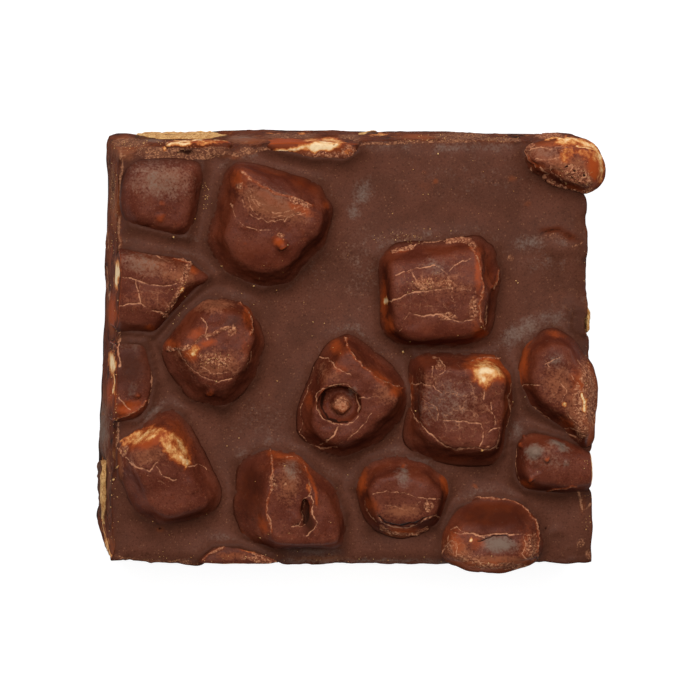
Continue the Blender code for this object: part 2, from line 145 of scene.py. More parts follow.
def evened(values, neighbours, rounds):
    """Values at the points of a mesh, each mixed with its neighbours' mean a number of times."""
    one, other, count = neighbours
    values = values.reshape(len(count), -1).copy()
    for _ in range(rounds):
        for column in range(values.shape[1]):
            mean = np.bincount(one, values[other, column], len(count)) / count
            values[:, column] = (values[:, column] + mean) / 2
    return values if values.shape[1] > 1 else values[:, 0]


def step(values, low, high):
    share = np.clip((values - low) / (high - low), 0.0, 1.0)
    return share * share * (3.0 - 2.0 * share)


def grain(points, size, seed):
    """Smooth noise from minus one to one with grains of a size in millimetres."""
    place = points / size + seed * 7.31
    cell = np.floor(place).astype(np.int64)
    share = place - cell
    share = share * share * (3.0 - 2.0 * share)
    total = np.zeros(len(points))
    for corner in np.ndindex(2, 2, 2):
        x, y, z = (cell + corner).T
        mixed = (x * 73856093) ^ (y * 19349663) ^ (z * 83492791) ^ (seed * 2654435)
        mixed = (mixed ^ (mixed >> 13)) * 1274126177 & 0x7FFFFFFF
        value = ((mixed ^ (mixed >> 16)) & 0xFFFF) / 32767.5 - 1.0
        weight = np.prod(np.where(np.array(corner) == 1, share, 1.0 - share), axis=1)
        total += value * weight
    return total


def merged_copy(node, name):
    """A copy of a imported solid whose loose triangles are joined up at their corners."""
    piece = bpy.data.objects.new(name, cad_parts[node].data.copy())
    piece.data.materials.clear()
    bpy.context.scene.collection.objects.link(piece)
    only(piece)
    bpy.ops.mesh.customdata_custom_splitnormals_clear()
    bpy.ops.object.mode_set(mode="EDIT")
    bpy.ops.mesh.select_all(action="SELECT")
    bpy.ops.mesh.remove_doubles(threshold=0.002 * MM)
    bpy.ops.object.mode_set(mode="OBJECT")
    return piece


def select_points(piece, chosen):
    piece.data.polygons.foreach_set("select", np.zeros(len(piece.data.polygons), bool))
    piece.data.edges.foreach_set("select", np.zeros(len(piece.data.edges), bool))
    piece.data.vertices.foreach_set("select", chosen)


# %% [markdown]
# The marks are written as lines and patches at the places where they show in the picture, and are
# painted onto whatever lies there. Each kind of mark goes to a layer, which is an attribute on the
# mesh, and may raise or sink the surface as well. A layer holds a soft slope and not a hard edge:
# the material cuts it off with a finer noise than the mesh could hold. Marks of one kind are written
# together, a row of numbers for each.

# %% Kinds of marks
Line = namedtuple("Line", "kind width points")
Patch = namedtuple("Patch", "kind x y half_x half_y turn strength")
Grab = namedtuple("Grab", "x y half_x half_y move")
LAYERS = ("crack", "crackle", "thin", "dry", "bare", "torn", "bloom", "dark", "gloss", "wall", "foot", "cut")

# Each kind: its layers with their strengths, and how far it raises the surface, in millimetres
# Slit and shade lines paint shade into slits and hollows in the dark colour
LINE_KINDS = {"crack": ({"crack": 1.0}, -0.07), "faint": ({"crack": 0.85}, 0.0),
              "rim": ({"thin": 1.0, "torn": 0.5, "crack": 0.7}, 0.16),
              "torn": ({"torn": 1.0, "thin": 0.5}, 0.1), "orange": ({"thin": 1.0}, 0.05),
              "cream": ({"bare": 1.0, "thin": 0.9}, 0.03), "slit": ({"dark": 1.0}, -0.2),
              "shade": ({"dark": 0.8}, -0.1), "pale": ({"bare": 0.78, "thin": 1.0}, 0.0)}
# Some patch kinds paint light and shade: bloom patches are grey bloom together with painted sheen and
# highlights, dim and dark patches are painted shade, and deep patches give the darker, redder wall tone with
# painted shade
PATCH_KINDS = {"thin": ({"thin": 1.0}, 0.0), "cream": ({"bare": 1.0, "thin": 1.0}, -0.08),
               "torn": ({"torn": 1.0}, 0.06), "bloom": ({"bloom": 1.0}, 0.0),
               "dark": ({"dark": 1.0}, -0.15), "gloss": ({"gloss": 1.0}, 0.0),
               "crackle": ({"crackle": 1.0}, 0.0), "keep": ({}, 0.0),
               "dry": ({"dry": 1.0}, 0.0), "deep": ({"wall": 1.0}, 0.0),
               "amber": ({"bare": 0.6, "thin": 1.0}, 0.0), "dim": ({"foot": 1.0}, 0.0),
               "scuff": ({"crack": 0.74}, 0.0),
               "bump": ({"thin": 0.7}, 0.45), "dent": ({}, -0.5), "swell": ({}, 0.5)}
RAGGED_PIXELS = 1.5


def patches(kind, *rows):
    """Patches of one kind, each as x, y, half_x, half_y, strength and, where it is turned, its degrees."""
    return tuple(Patch(kind, *row[:4], row[5] if len(row) > 5 else 0, row[4]) for row in rows)


def lines(kind, *rows):
    """Lines of one kind, each as its width and then x and y of every point."""
    return tuple(Line(kind, row[0], tuple(zip(row[1::2], row[2::2]))) for row in rows)


def add_to(layers, name, values):
    """Lays values over a layer. Where two overlap, the stronger one holds."""
    layers[name] = np.maximum(layers[name], values)


def distance_to_line(seen, points):
    nearest = np.full(len(seen), 1e9)
    for start, end in zip(points, points[1:]):
        start, along = np.array(start, float), np.array(end, float) - np.array(start, float)
        share = np.clip((seen - start) @ along / (along @ along), 0.0, 1.0)
        nearest = np.minimum(nearest, np.linalg.norm(seen - start - share[:, None] * along, axis=1))
    return nearest


def patch_closeness(seen, patch):
    turn = math.radians(patch.turn)
    x, y = seen[:, 0] - patch.x, seen[:, 1] - patch.y
    along = (x * math.cos(turn) + y * math.sin(turn)) / patch.half_x
    across = (y * math.cos(turn) - x * math.sin(turn)) / patch.half_y
    return np.clip(1.3 - np.sqrt(along ** 2 + across ** 2), 0.0, 1.0)


def paint(points, normals, marks, seed):
    """The layers of a mesh, and how far each point is raised along its normal."""
    seen = seen_at(points)
    ragged = np.stack((grain(points, 1.3, seed), grain(points, 1.3, seed + 1)), axis=1)
    finer = np.stack((grain(points, 0.5, seed + 2), grain(points, 0.5, seed + 3)), axis=1)
    seen = seen + ragged * RAGGED_PIXELS + finer
    facing = step(normals @ np.array(back), -0.02, 0.06)
    wavering = 0.95 + 0.3 * grain(points, 1.6, seed + 7)
    blotches = 0.95 + 0.26 * grain(points, 1.1, seed + 8) + 0.12 * grain(points, 0.4, seed + 9)
    layers = {name: np.zeros(len(points)) for name in LAYERS}
    rise = np.zeros(len(points))
    for mark in marks:
        if isinstance(mark, Line):
            reach = distance_to_line(seen, mark.points) / mark.width
            closeness = np.clip(1.0 - reach, 0.0, 1.0) * facing * wavering
            effects, height = LINE_KINDS[mark.kind]
        else:
            closeness = np.minimum(patch_closeness(seen, mark) * mark.strength, 1.0) * facing
            effects, height = PATCH_KINDS[mark.kind]
            if mark.kind == "amber":
                closeness = closeness * blotches
        for name, strength in effects.items():
            add_to(layers, name, closeness * strength)
        rise += step(closeness, 0.0, 1.0) * height
    rough = grain(points, 0.35, seed + 4) * 0.6 + grain(points, 0.8, seed + 5) * 0.6
    rise += step(layers["torn"], 0.2, 0.8) * rough * 0.2
    rise += step(layers["bare"], 0.3, 0.9) * grain(points, 0.6, seed + 6) * 0.06
    return layers, rise


def keep_layers(piece, layers):
    for name, values in layers.items():
        attribute = piece.data.attributes.new(name, "FLOAT", "POINT")
        attribute.data.foreach_set("value", values.astype(np.float32))


# %% [markdown]
# Materials come next, so that each piece can take its own as it is made. One builder makes the skin
# of both the chocolate and the coats: a base colour that wanders a little, darker and redder on
# steep walls with painted shade, orange where the coat is thin, and then the marks on top. Constants
# such as the coat's roughness stay on the shader's own sockets.

# %% Helpers for materials
def feed(tree, socket, value):
    """Links a socket to another node's output, or gives it a plain value."""
    if isinstance(value, bpy.types.NodeSocket):
        tree.links.new(value, socket)
    else:
        socket.default_value = value


def node(tree, kind, inputs=None, **settings):
    made = tree.nodes.new("ShaderNode" + kind)
    for name, value in settings.items():
        setattr(made, name, value)
    for name, value in (inputs or {}).items():
        feed(tree, made.inputs[name], value)
    return made


def mix(tree, share, one, other):
    return node(tree, "Mix", {0: share, 6: one, 7: other}, data_type="RGBA").outputs[2]


def math_of(tree, operation, one, other):
    return node(tree, "Math", {0: one, 1: other}, operation=operation).outputs[0]


def between(tree, value, low, high, to_low=0.0, to_high=1.0):
    inputs = {"Value": value, "From Min": low, "From Max": high, "To Min": to_low, "To Max": to_high}
    return node(tree, "MapRange", inputs, interpolation_type="SMOOTHSTEP").outputs["Result"]


def noise(tree, place, size, detail=3.0, roughness=0.55):
    """Noise with grains of about a size in millimetres."""
    inputs = {"Vector": place, "Scale": 1.0 / (size * MM), "Detail": detail, "Roughness": roughness}
    return node(tree, "TexNoise", inputs).outputs["Fac"]


def layer(tree, name):
    return node(tree, "Attribute", attribute_name=name).outputs["Fac"]


def colour(red, green, blue):
    """A colour as it looks on a screen, from 0 to 255, turned into the shader's linear one."""
    return (*[((v / 255 + 0.055) / 1.055) ** 2.4 for v in (red, green, blue)], 1.0)


def new_material(name):
    material = bpy.data.materials.new(name)
    material.use_nodes = True
    tree = material.node_tree
    return material, tree, tree.nodes["Principled BSDF"]


# %% [markdown]
# The skin. Every mark reads its layer, adds fine noise and cuts it to a crisp ragged edge. Bump
# comes only from noise finer than the mesh, since larger relief is real geometry.

# %% Chocolate skin
Tones = namedtuple("Tones", "light deep dim wall glow thin dry crack torn bare bloom foot")
# Painted shade for holes, slits, hollows and the foot of the cut sides, and for a few dark spots
SHADE_AND_DARK_SPOTS = colour(44, 20, 12)
CUT_TONES = (colour(40, 20, 13), colour(88, 40, 22), colour(118, 62, 34), colour(158, 108, 66))


def ramp(tree, value, *stops):
    made = node(tree, "ValToRGB", {"Fac": value})
    points = made.color_ramp.elements
    while len(points) < len(stops):
        points.new(0.5)
    for point, (position, tone) in zip(points, stops):
        point.position = position
        point.color = tone
    return made.outputs["Color"]


def shaken(tree, place, size, reach):
    """A place moved about by noise, so that cells and veins don't run straight."""
    inputs = {"Vector": place, "Scale": 1.0 / (size * MM), "Detail": 3.0}
    shake = node(tree, "TexNoise", inputs).outputs["Color"]
    shake = node(tree, "VectorMath", {0: shake, 1: (0.5, 0.5, 0.5)}, operation="SUBTRACT").outputs[0]
    shake = node(tree, "VectorMath", {0: shake, "Scale": reach * MM}, operation="SCALE").outputs[0]
    return node(tree, "VectorMath", {0: place, 1: shake}, operation="ADD").outputs[0]


def cells(tree, place, size, feature="F1"):
    return node(tree, "TexVoronoi", {"Vector": place, "Scale": 1.0 / (size * MM)}, feature=feature)


def skin(name, tones, roughness, mottling, speckling, ior):
    material, tree, shader = new_material(name)
    place = node(tree, "TexCoord").outputs["Object"]
    blend = partial(mix, tree)
    span = partial(between, tree)
    read = partial(layer, tree)
    grains = partial(noise, tree, place)
    plus = partial(math_of, tree, "ADD")
    minus = partial(math_of, tree, "SUBTRACT")
    times = partial(math_of, tree, "MULTIPLY")
    most = partial(math_of, tree, "MAXIMUM")
    broad = grains(4.5)
    middle = grains(1.2, detail=4.0)
    fine = grains(0.35, detail=4.0, roughness=0.65)
    tiny = grains(0.2, detail=2.0)
    shift = minus(fine, 0.5)
    drift = minus(middle, 0.5)
    crumbs = cells(tree, shaken(tree, place, 0.5, 0.3), 0.24)
    crumb_value = node(tree, "SeparateColor", {"Color": crumbs.outputs["Color"]}).outputs["Red"]
    clumps = grains(0.5, detail=5.0, roughness=0.7)
    crumb_value = plus(times(crumb_value, 0.55), times(clumps, 0.6))

    def cut(mark, low, high, raggedness, wandering=0.0):
        moved = plus(read(mark), times(shift, raggedness))
        return span(plus(moved, times(drift, wandering)), low, high)

    # The plain coat: two browns that drift, thin spots, dark grain, dry grain and pale specks
    base = blend(span(broad, 0.35, 0.65), tones.deep, tones.light)
    base = blend(span(middle, 0.5, 0.75, 0.0, mottling), base, tones.thin)
    base = blend(span(fine, 0.5, 0.3, 0.0, 0.6), base, tones.dim)
    base = blend(span(tiny, 0.56, 0.74, 0.0, 0.5), base, tones.dry)
    specks = cells(tree, place, 0.42)
    speck = span(specks.outputs["Distance"], 0.36, 0.16)
    chosen = node(tree, "SeparateColor", {"Color": specks.outputs["Color"]}).outputs["Green"]
    speck = times(speck, span(chosen, 0.55, 0.8))
    speck = times(speck, span(middle, 0.4, 0.62, 0.2, 1.0))
    base = blend(times(speck, speckling), base, tones.crack)

    # Steep walls darker and redder with painted shade, the face that the knife left, dry patches,
    # grey bloom with painted sheen, thin coat and painted shade at the foot
    wall = blend(span(broad, 0.4, 0.6), tones.wall, tones.glow)
    base = blend(read("wall"), base, wall)
    side = read("cut")
    smears = grains(3.2, detail=7.0, roughness=0.68)
    cut_face = ramp(tree, smears, (0.36, CUT_TONES[0]), (0.45, CUT_TONES[1]), (0.54, CUT_TONES[1]),
                    (0.62, CUT_TONES[2]), (0.7, CUT_TONES[3]))
    base = blend(side, base, cut_face)
    base = blend(cut("dry", 0.3, 1.05, 1.7, 0.9), base, tones.dry)
    base = blend(cut("bloom", 0.12, 1.0, 1.3, 0.8), base, tones.bloom)
    base = blend(cut("thin", 0.15, 1.0, 0.5, 0.5), base, tones.thin)
    base = blend(read("foot"), base, tones.foot)

    # Torn crumbs, fine veins, cracks, bare marshmallow, and painted shade in holes and slits
    torn = cut("torn", 0.25, 0.5, 0.9, 0.3)
    crumb = ramp(tree, crumb_value, (0.0, tones.deep), (0.3, tones.light), (0.6, tones.dry),
                 (0.82, tones.crack), (1.0, tones.torn))
    base = blend(torn, base, crumb)
    veins = cells(tree, shaken(tree, place, 1.0, 1.6), 1.9, "DISTANCE_TO_EDGE").outputs["Distance"]
    veins = plus(veins, times(shift, 0.12))
    vein = times(span(veins, 0.035, 0.005), read("crackle"))
    vein = times(vein, span(middle, 0.42, 0.6))
    crack = times(cut("crack", 0.5, 0.85, 0.95), span(middle, 0.32, 0.5, 0.2, 1.0))
    crack = most(crack, times(vein, 0.6))
    base = blend(crack, base, tones.crack)
    bare = cut("bare", 0.1, 1.05, 0.6, 0.8)
    cream = ramp(tree, bare, (0.1, tones.thin), (0.36, colour(180, 102, 52)), (0.62, colour(216, 154, 92)),
                 (1.0, tones.bare))
    base = blend(span(bare, 0.05, 0.35), base, cream)
    base = blend(cut("dark", 0.35, 0.7, 0.4), base, SHADE_AND_DARK_SPOTS)
    tree.links.new(base, shader.inputs["Base Color"])

    # Torn, bare and cut places are dull, and glossy ones are smoother
    rough = span(fine, 0.3, 0.7, roughness - 0.05, roughness + 0.08)
    rough = minus(rough, times(read("gloss"), 0.18))
    dull = most(torn, most(bare, side))
    rough = most(rough, times(dull, 0.97))
    for matt in ("wall", "dry"):
        rough = most(rough, times(read(matt), 1.15))
    tree.links.new(rough, shader.inputs["Roughness"])
    shader.inputs["IOR"].default_value = ior

    # Bump is strongest where it is dull
    height = plus(times(tiny, 0.35), fine)
    lumps = times(crumbs.outputs["Distance"], -1.0)
    height = plus(height, times(lumps, torn))
    strength = plus(times(dull, 1.6), 0.55)
    smoothed = times(read("gloss"), 0.4)
    height = times(height, minus(strength, smoothed))
    bump = node(tree, "Bump", {"Strength": 0.6, "Distance": 0.1 * MM, "Height": height})
    tree.links.new(bump.outputs["Normal"], shader.inputs["Normal"])
    print("material", name, "has", len(tree.nodes), "nodes")
    return material


COAT = Tones(light=colour(106, 54, 39), deep=colour(90, 41, 28), dim=colour(63, 27, 16),
             wall=colour(80, 29, 13), glow=colour(100, 39, 15), thin=colour(150, 64, 26),
             dry=colour(138, 80, 54), crack=colour(186, 126, 92), torn=colour(200, 146, 102),
             bare=colour(238, 208, 164), bloom=colour(122, 98, 84), foot=colour(60, 29, 18))
SLAB = Tones(light=colour(95, 54, 40), deep=colour(85, 48, 35), dim=colour(62, 33, 22),
             wall=colour(84, 38, 22), glow=colour(84, 36, 18), thin=colour(130, 64, 32),
             dry=colour(112, 68, 48), crack=colour(158, 106, 76), torn=colour(172, 116, 76),
             bare=colour(220, 184, 136), bloom=colour(116, 96, 85), foot=colour(66, 35, 24))
coat_material = skin("marshmallow_coat", COAT, 0.45, 0.16, 0.2, 1.16)
slab_material = skin("chocolate", SLAB, 0.5, 0.04, 0.36, 1.14)

# %% [markdown]
# Biscuit is matt and crumbly. Its colour runs from pale gold to baked brown in clusters, and its
# bump is coarse. Its one layer, smear, says where chocolate is smeared over it.

# %% Biscuit material
def biscuit_skin():
    material, tree, shader = new_material("biscuit")
    place = node(tree, "TexCoord").outputs["Object"]
    blend = partial(mix, tree)
    span = partial(between, tree)
    clusters = noise(tree, place, 0.8, detail=4.0, roughness=0.7)
    specks = noise(tree, place, 0.25, detail=2.0)
    base = blend(span(clusters, 0.36, 0.64), colour(172, 118, 66), colour(214, 168, 108))
    base = blend(span(specks, 0.58, 0.7), base, colour(230, 194, 138))
    base = blend(span(specks, 0.4, 0.3), base, colour(126, 72, 36))
    edge = math_of(tree, "ADD", layer(tree, "smear"), math_of(tree, "MULTIPLY", clusters, 0.4))
    smeared = blend(span(clusters, 0.4, 0.6), colour(70, 42, 26), colour(96, 52, 33))
    base = blend(span(edge, 0.6, 0.8), base, smeared)
    tree.links.new(base, shader.inputs["Base Color"])
    shader.inputs["Roughness"].default_value = 0.85
    shader.inputs["IOR"].default_value = 1.15
    bump = node(tree, "Bump", {"Strength": 0.8, "Distance": 0.15 * MM, "Height": clusters})
    tree.links.new(bump.outputs["Normal"], shader.inputs["Normal"])
    return material


biscuit_material = biscuit_skin()
print("material biscuit is made")

# %% [markdown]
# Now the marks of each marshmallow, one list for each. The places are picture pixels, read off one
# by one: a crack is four or five points, and the noise in paint makes it wander between them.

# %% Marks on the marshmallows at the left
# Grey bloom patches below also mark painted sheen and highlights; dim, dark and deep patches mark painted
# shade
MARKS = {
    "marshmallow_far_left_corner": (
        patches("dry", (163, 180, 36, 22, 0.8))
        + patches("bloom", (160, 180, 36, 24, 0.58, 10), (168, 181, 3, 3, 0.8))
        + patches("thin", (163, 203, 5, 4, 0.55, 30), (160, 218, 7, 6, 0.6))
        + patches("swell", (160, 218, 7, 6, 0.4))),
    "marshmallow_far_left": (
        patches("bloom", (272, 197, 28, 12, 0.5, 18))
        + patches("deep", (266, 256, 40, 16, 0.5), (302, 180, 38, 15, 1, 28))
        + patches("dry", (275, 205, 36, 13, 1.3, 25), (262, 202, 32, 18, 0.95, 30),
            (302, 212, 20, 9, 0.7, 20))
        + patches("scuff", (300, 208, 17, 5, 0.75, 20))
        + patches("keep", (279, 240, 10, 10, 1))
        + patches("thin", (238, 180, 9, 14, 0.75, -20), (300, 208, 20, 6, 0.7, 25),
            (268, 198, 26, 8, 0.5, 30), (326, 205, 5, 6, 0.6), (279, 242, 8, 7, 0.9),
            (245, 243, 3, 3, 0.5))
        + patches("torn", (300, 203, 14, 4, 0.7, 24), (240, 185, 5, 5, 0.6), (281, 236, 4, 3, 0.8))
        + lines("faint", (1.4, 249, 195, 256, 205, 266, 211, 280, 213, 295, 209, 306, 205),
            (1.4, 246, 187, 252, 198, 262, 204, 275, 206, 290, 204),
            (1.8, 250, 189, 256, 201, 266, 210, 278, 213, 291, 211),
            (1.6, 242, 199, 246, 209, 252, 216, 266, 221, 283, 220),
            (1.4, 231, 204, 236, 218, 244, 226, 257, 230, 272, 230),
            (1.3, 246, 193, 250, 206, 260, 217, 276, 217, 300, 212))
        + lines("rim", (3.2, 241, 172, 247, 178, 258, 185, 270, 191, 284, 196, 298, 200, 312, 206))
        + lines("crack", (1.4, 283, 222, 287, 217, 296, 214, 306, 212))),
    "marshmallow_left_upper": (
        patches("dry", (150, 264, 34, 14, 0.9, 5), (184, 276, 14, 14, 1), (148, 300, 30, 13, 0.5),
            (168, 274, 22, 12, 0.75, 30))
        + patches("crackle", (150, 290, 32, 22, 0.6))
        + patches("cream", (181, 291, 2.5, 5, 0.85, 25))
        + patches("thin", (193, 268, 8, 8, 0.8, 40), (150, 328, 8, 5, 0.6), (142, 295, 16, 6, 0.3))
        + patches("bloom", (142, 263, 30, 13, 0.5, 10))
        + patches("torn", (172, 268, 8, 6, 0.4))
        + lines("crack", (1.6, 122, 277, 134, 280, 150, 285, 163, 286, 177, 284),
            (1.5, 134, 280, 138, 290, 141, 303),
            (1.6, 119, 306, 130, 303, 140, 304, 149, 309, 158, 312, 166, 312))
        + lines("faint", (1.4, 150, 249, 155, 254, 160, 258, 170, 262))
        + lines("torn", (5, 189, 263, 186, 274, 181, 289, 173, 302, 166, 314))
        + lines("rim", (2.5, 173, 259, 183, 261, 191, 264))),
    "marshmallow_left_middle": (
        patches("dry", (216, 364, 34, 18, 0.85, -5), (180, 354, 12, 10, 0.6), (212, 304, 32, 10, 0.85))
        + patches("crackle", (215, 368, 36, 18, 0.8))
        + patches("torn", (214, 360, 17, 7, 0.85, 10), (232, 330, 7, 6, 0.6, -40))
        + patches("thin", (198, 333, 14, 8, 0.7, -20), (248, 316, 6, 14, 0.8), (208, 343, 12, 5, 0.8, -20),
            (172, 345, 10, 8, 0.7), (190, 355, 14, 8, 0.75, 20), (246, 347, 8, 12, 0.4))
        + patches("amber", (194, 350, 12, 6, 0.9, -20))
        + patches("dim", (234, 322, 9, 7, 0.6, -30))
        + patches("cream", (193, 353, 4, 3, 0.75))
        + patches("dent", (216, 317, 14, 9, 0.9))
        + patches("bump", (210, 392, 5, 5, 0.8))
        + lines("torn", (2.6, 168, 349, 180, 350, 192, 345, 200, 338, 214, 333, 228, 327))
        + lines("crack", (1.8, 202, 318, 207, 327, 208, 339),
            (1.5, 176, 350, 183, 361, 190, 369, 202, 377, 216, 381, 232, 379),
            (1.4, 252, 352, 249, 362, 243, 371))
        + lines("faint", (1.3, 186, 352, 196, 364, 212, 374, 230, 372))
        + lines("rim", (2, 240, 302, 248, 311, 252, 322, 251, 336))),
    "marshmallow_left_edge": (
        patches("dim", (131, 366, 22, 30, 0.75))
        + patches("bloom", (131, 346, 18, 8, 0.35), (133, 391, 6, 9, 0.4))
        + patches("thin", (128, 408, 18, 10, 0.85, -10))
        + patches("bump", (137, 395, 4, 4, 0.9))
        + patches("dent", (126, 408, 10, 6, 0.6))
        + lines("crack", (1.7, 147, 338, 151, 356, 153, 379, 151, 395, 149, 403),
            (1.4, 118, 396, 124, 404, 132, 410))
        + lines("rim", (2.2, 114, 419, 125, 416, 136, 411, 147, 401))),
    "marshmallow_near_left": (
        patches("dry", (118, 470, 5, 26, 1.3), (148, 456, 28, 15, 0.75, -10))
        + patches("crackle", (150, 462, 28, 14, 0.6))
        + patches("amber", (142, 436, 28, 8, 1.25, -17), (174, 447, 24, 12, 1.35, 52))
        + patches("cream", (185, 461, 8, 6, 0.7, 40), (164, 431, 6, 5, 0.55), (126, 440, 5, 3, 0.45, -20),
            (178, 450, 6, 5, 0.5))
        + patches("thin", (150, 440, 34, 11, 0.9, -12), (180, 440, 12, 26, 0.65, -30),
            (122, 447, 10, 9, 0.6))
        + patches("torn", (124, 450, 5, 8, 0.7))
        + lines("crack", (1.9, 130, 463, 140, 468, 149, 471, 154, 467, 158, 463),
            (1.7, 157, 468, 164, 476, 176, 480), (1.4, 188, 466, 200, 464, 206, 470))
        + lines("faint", (1.4, 145, 474, 156, 481, 169, 486), (1.4, 118, 448, 124, 456, 134, 464))),
}
print("marks written for", len(MARKS), "marshmallows")

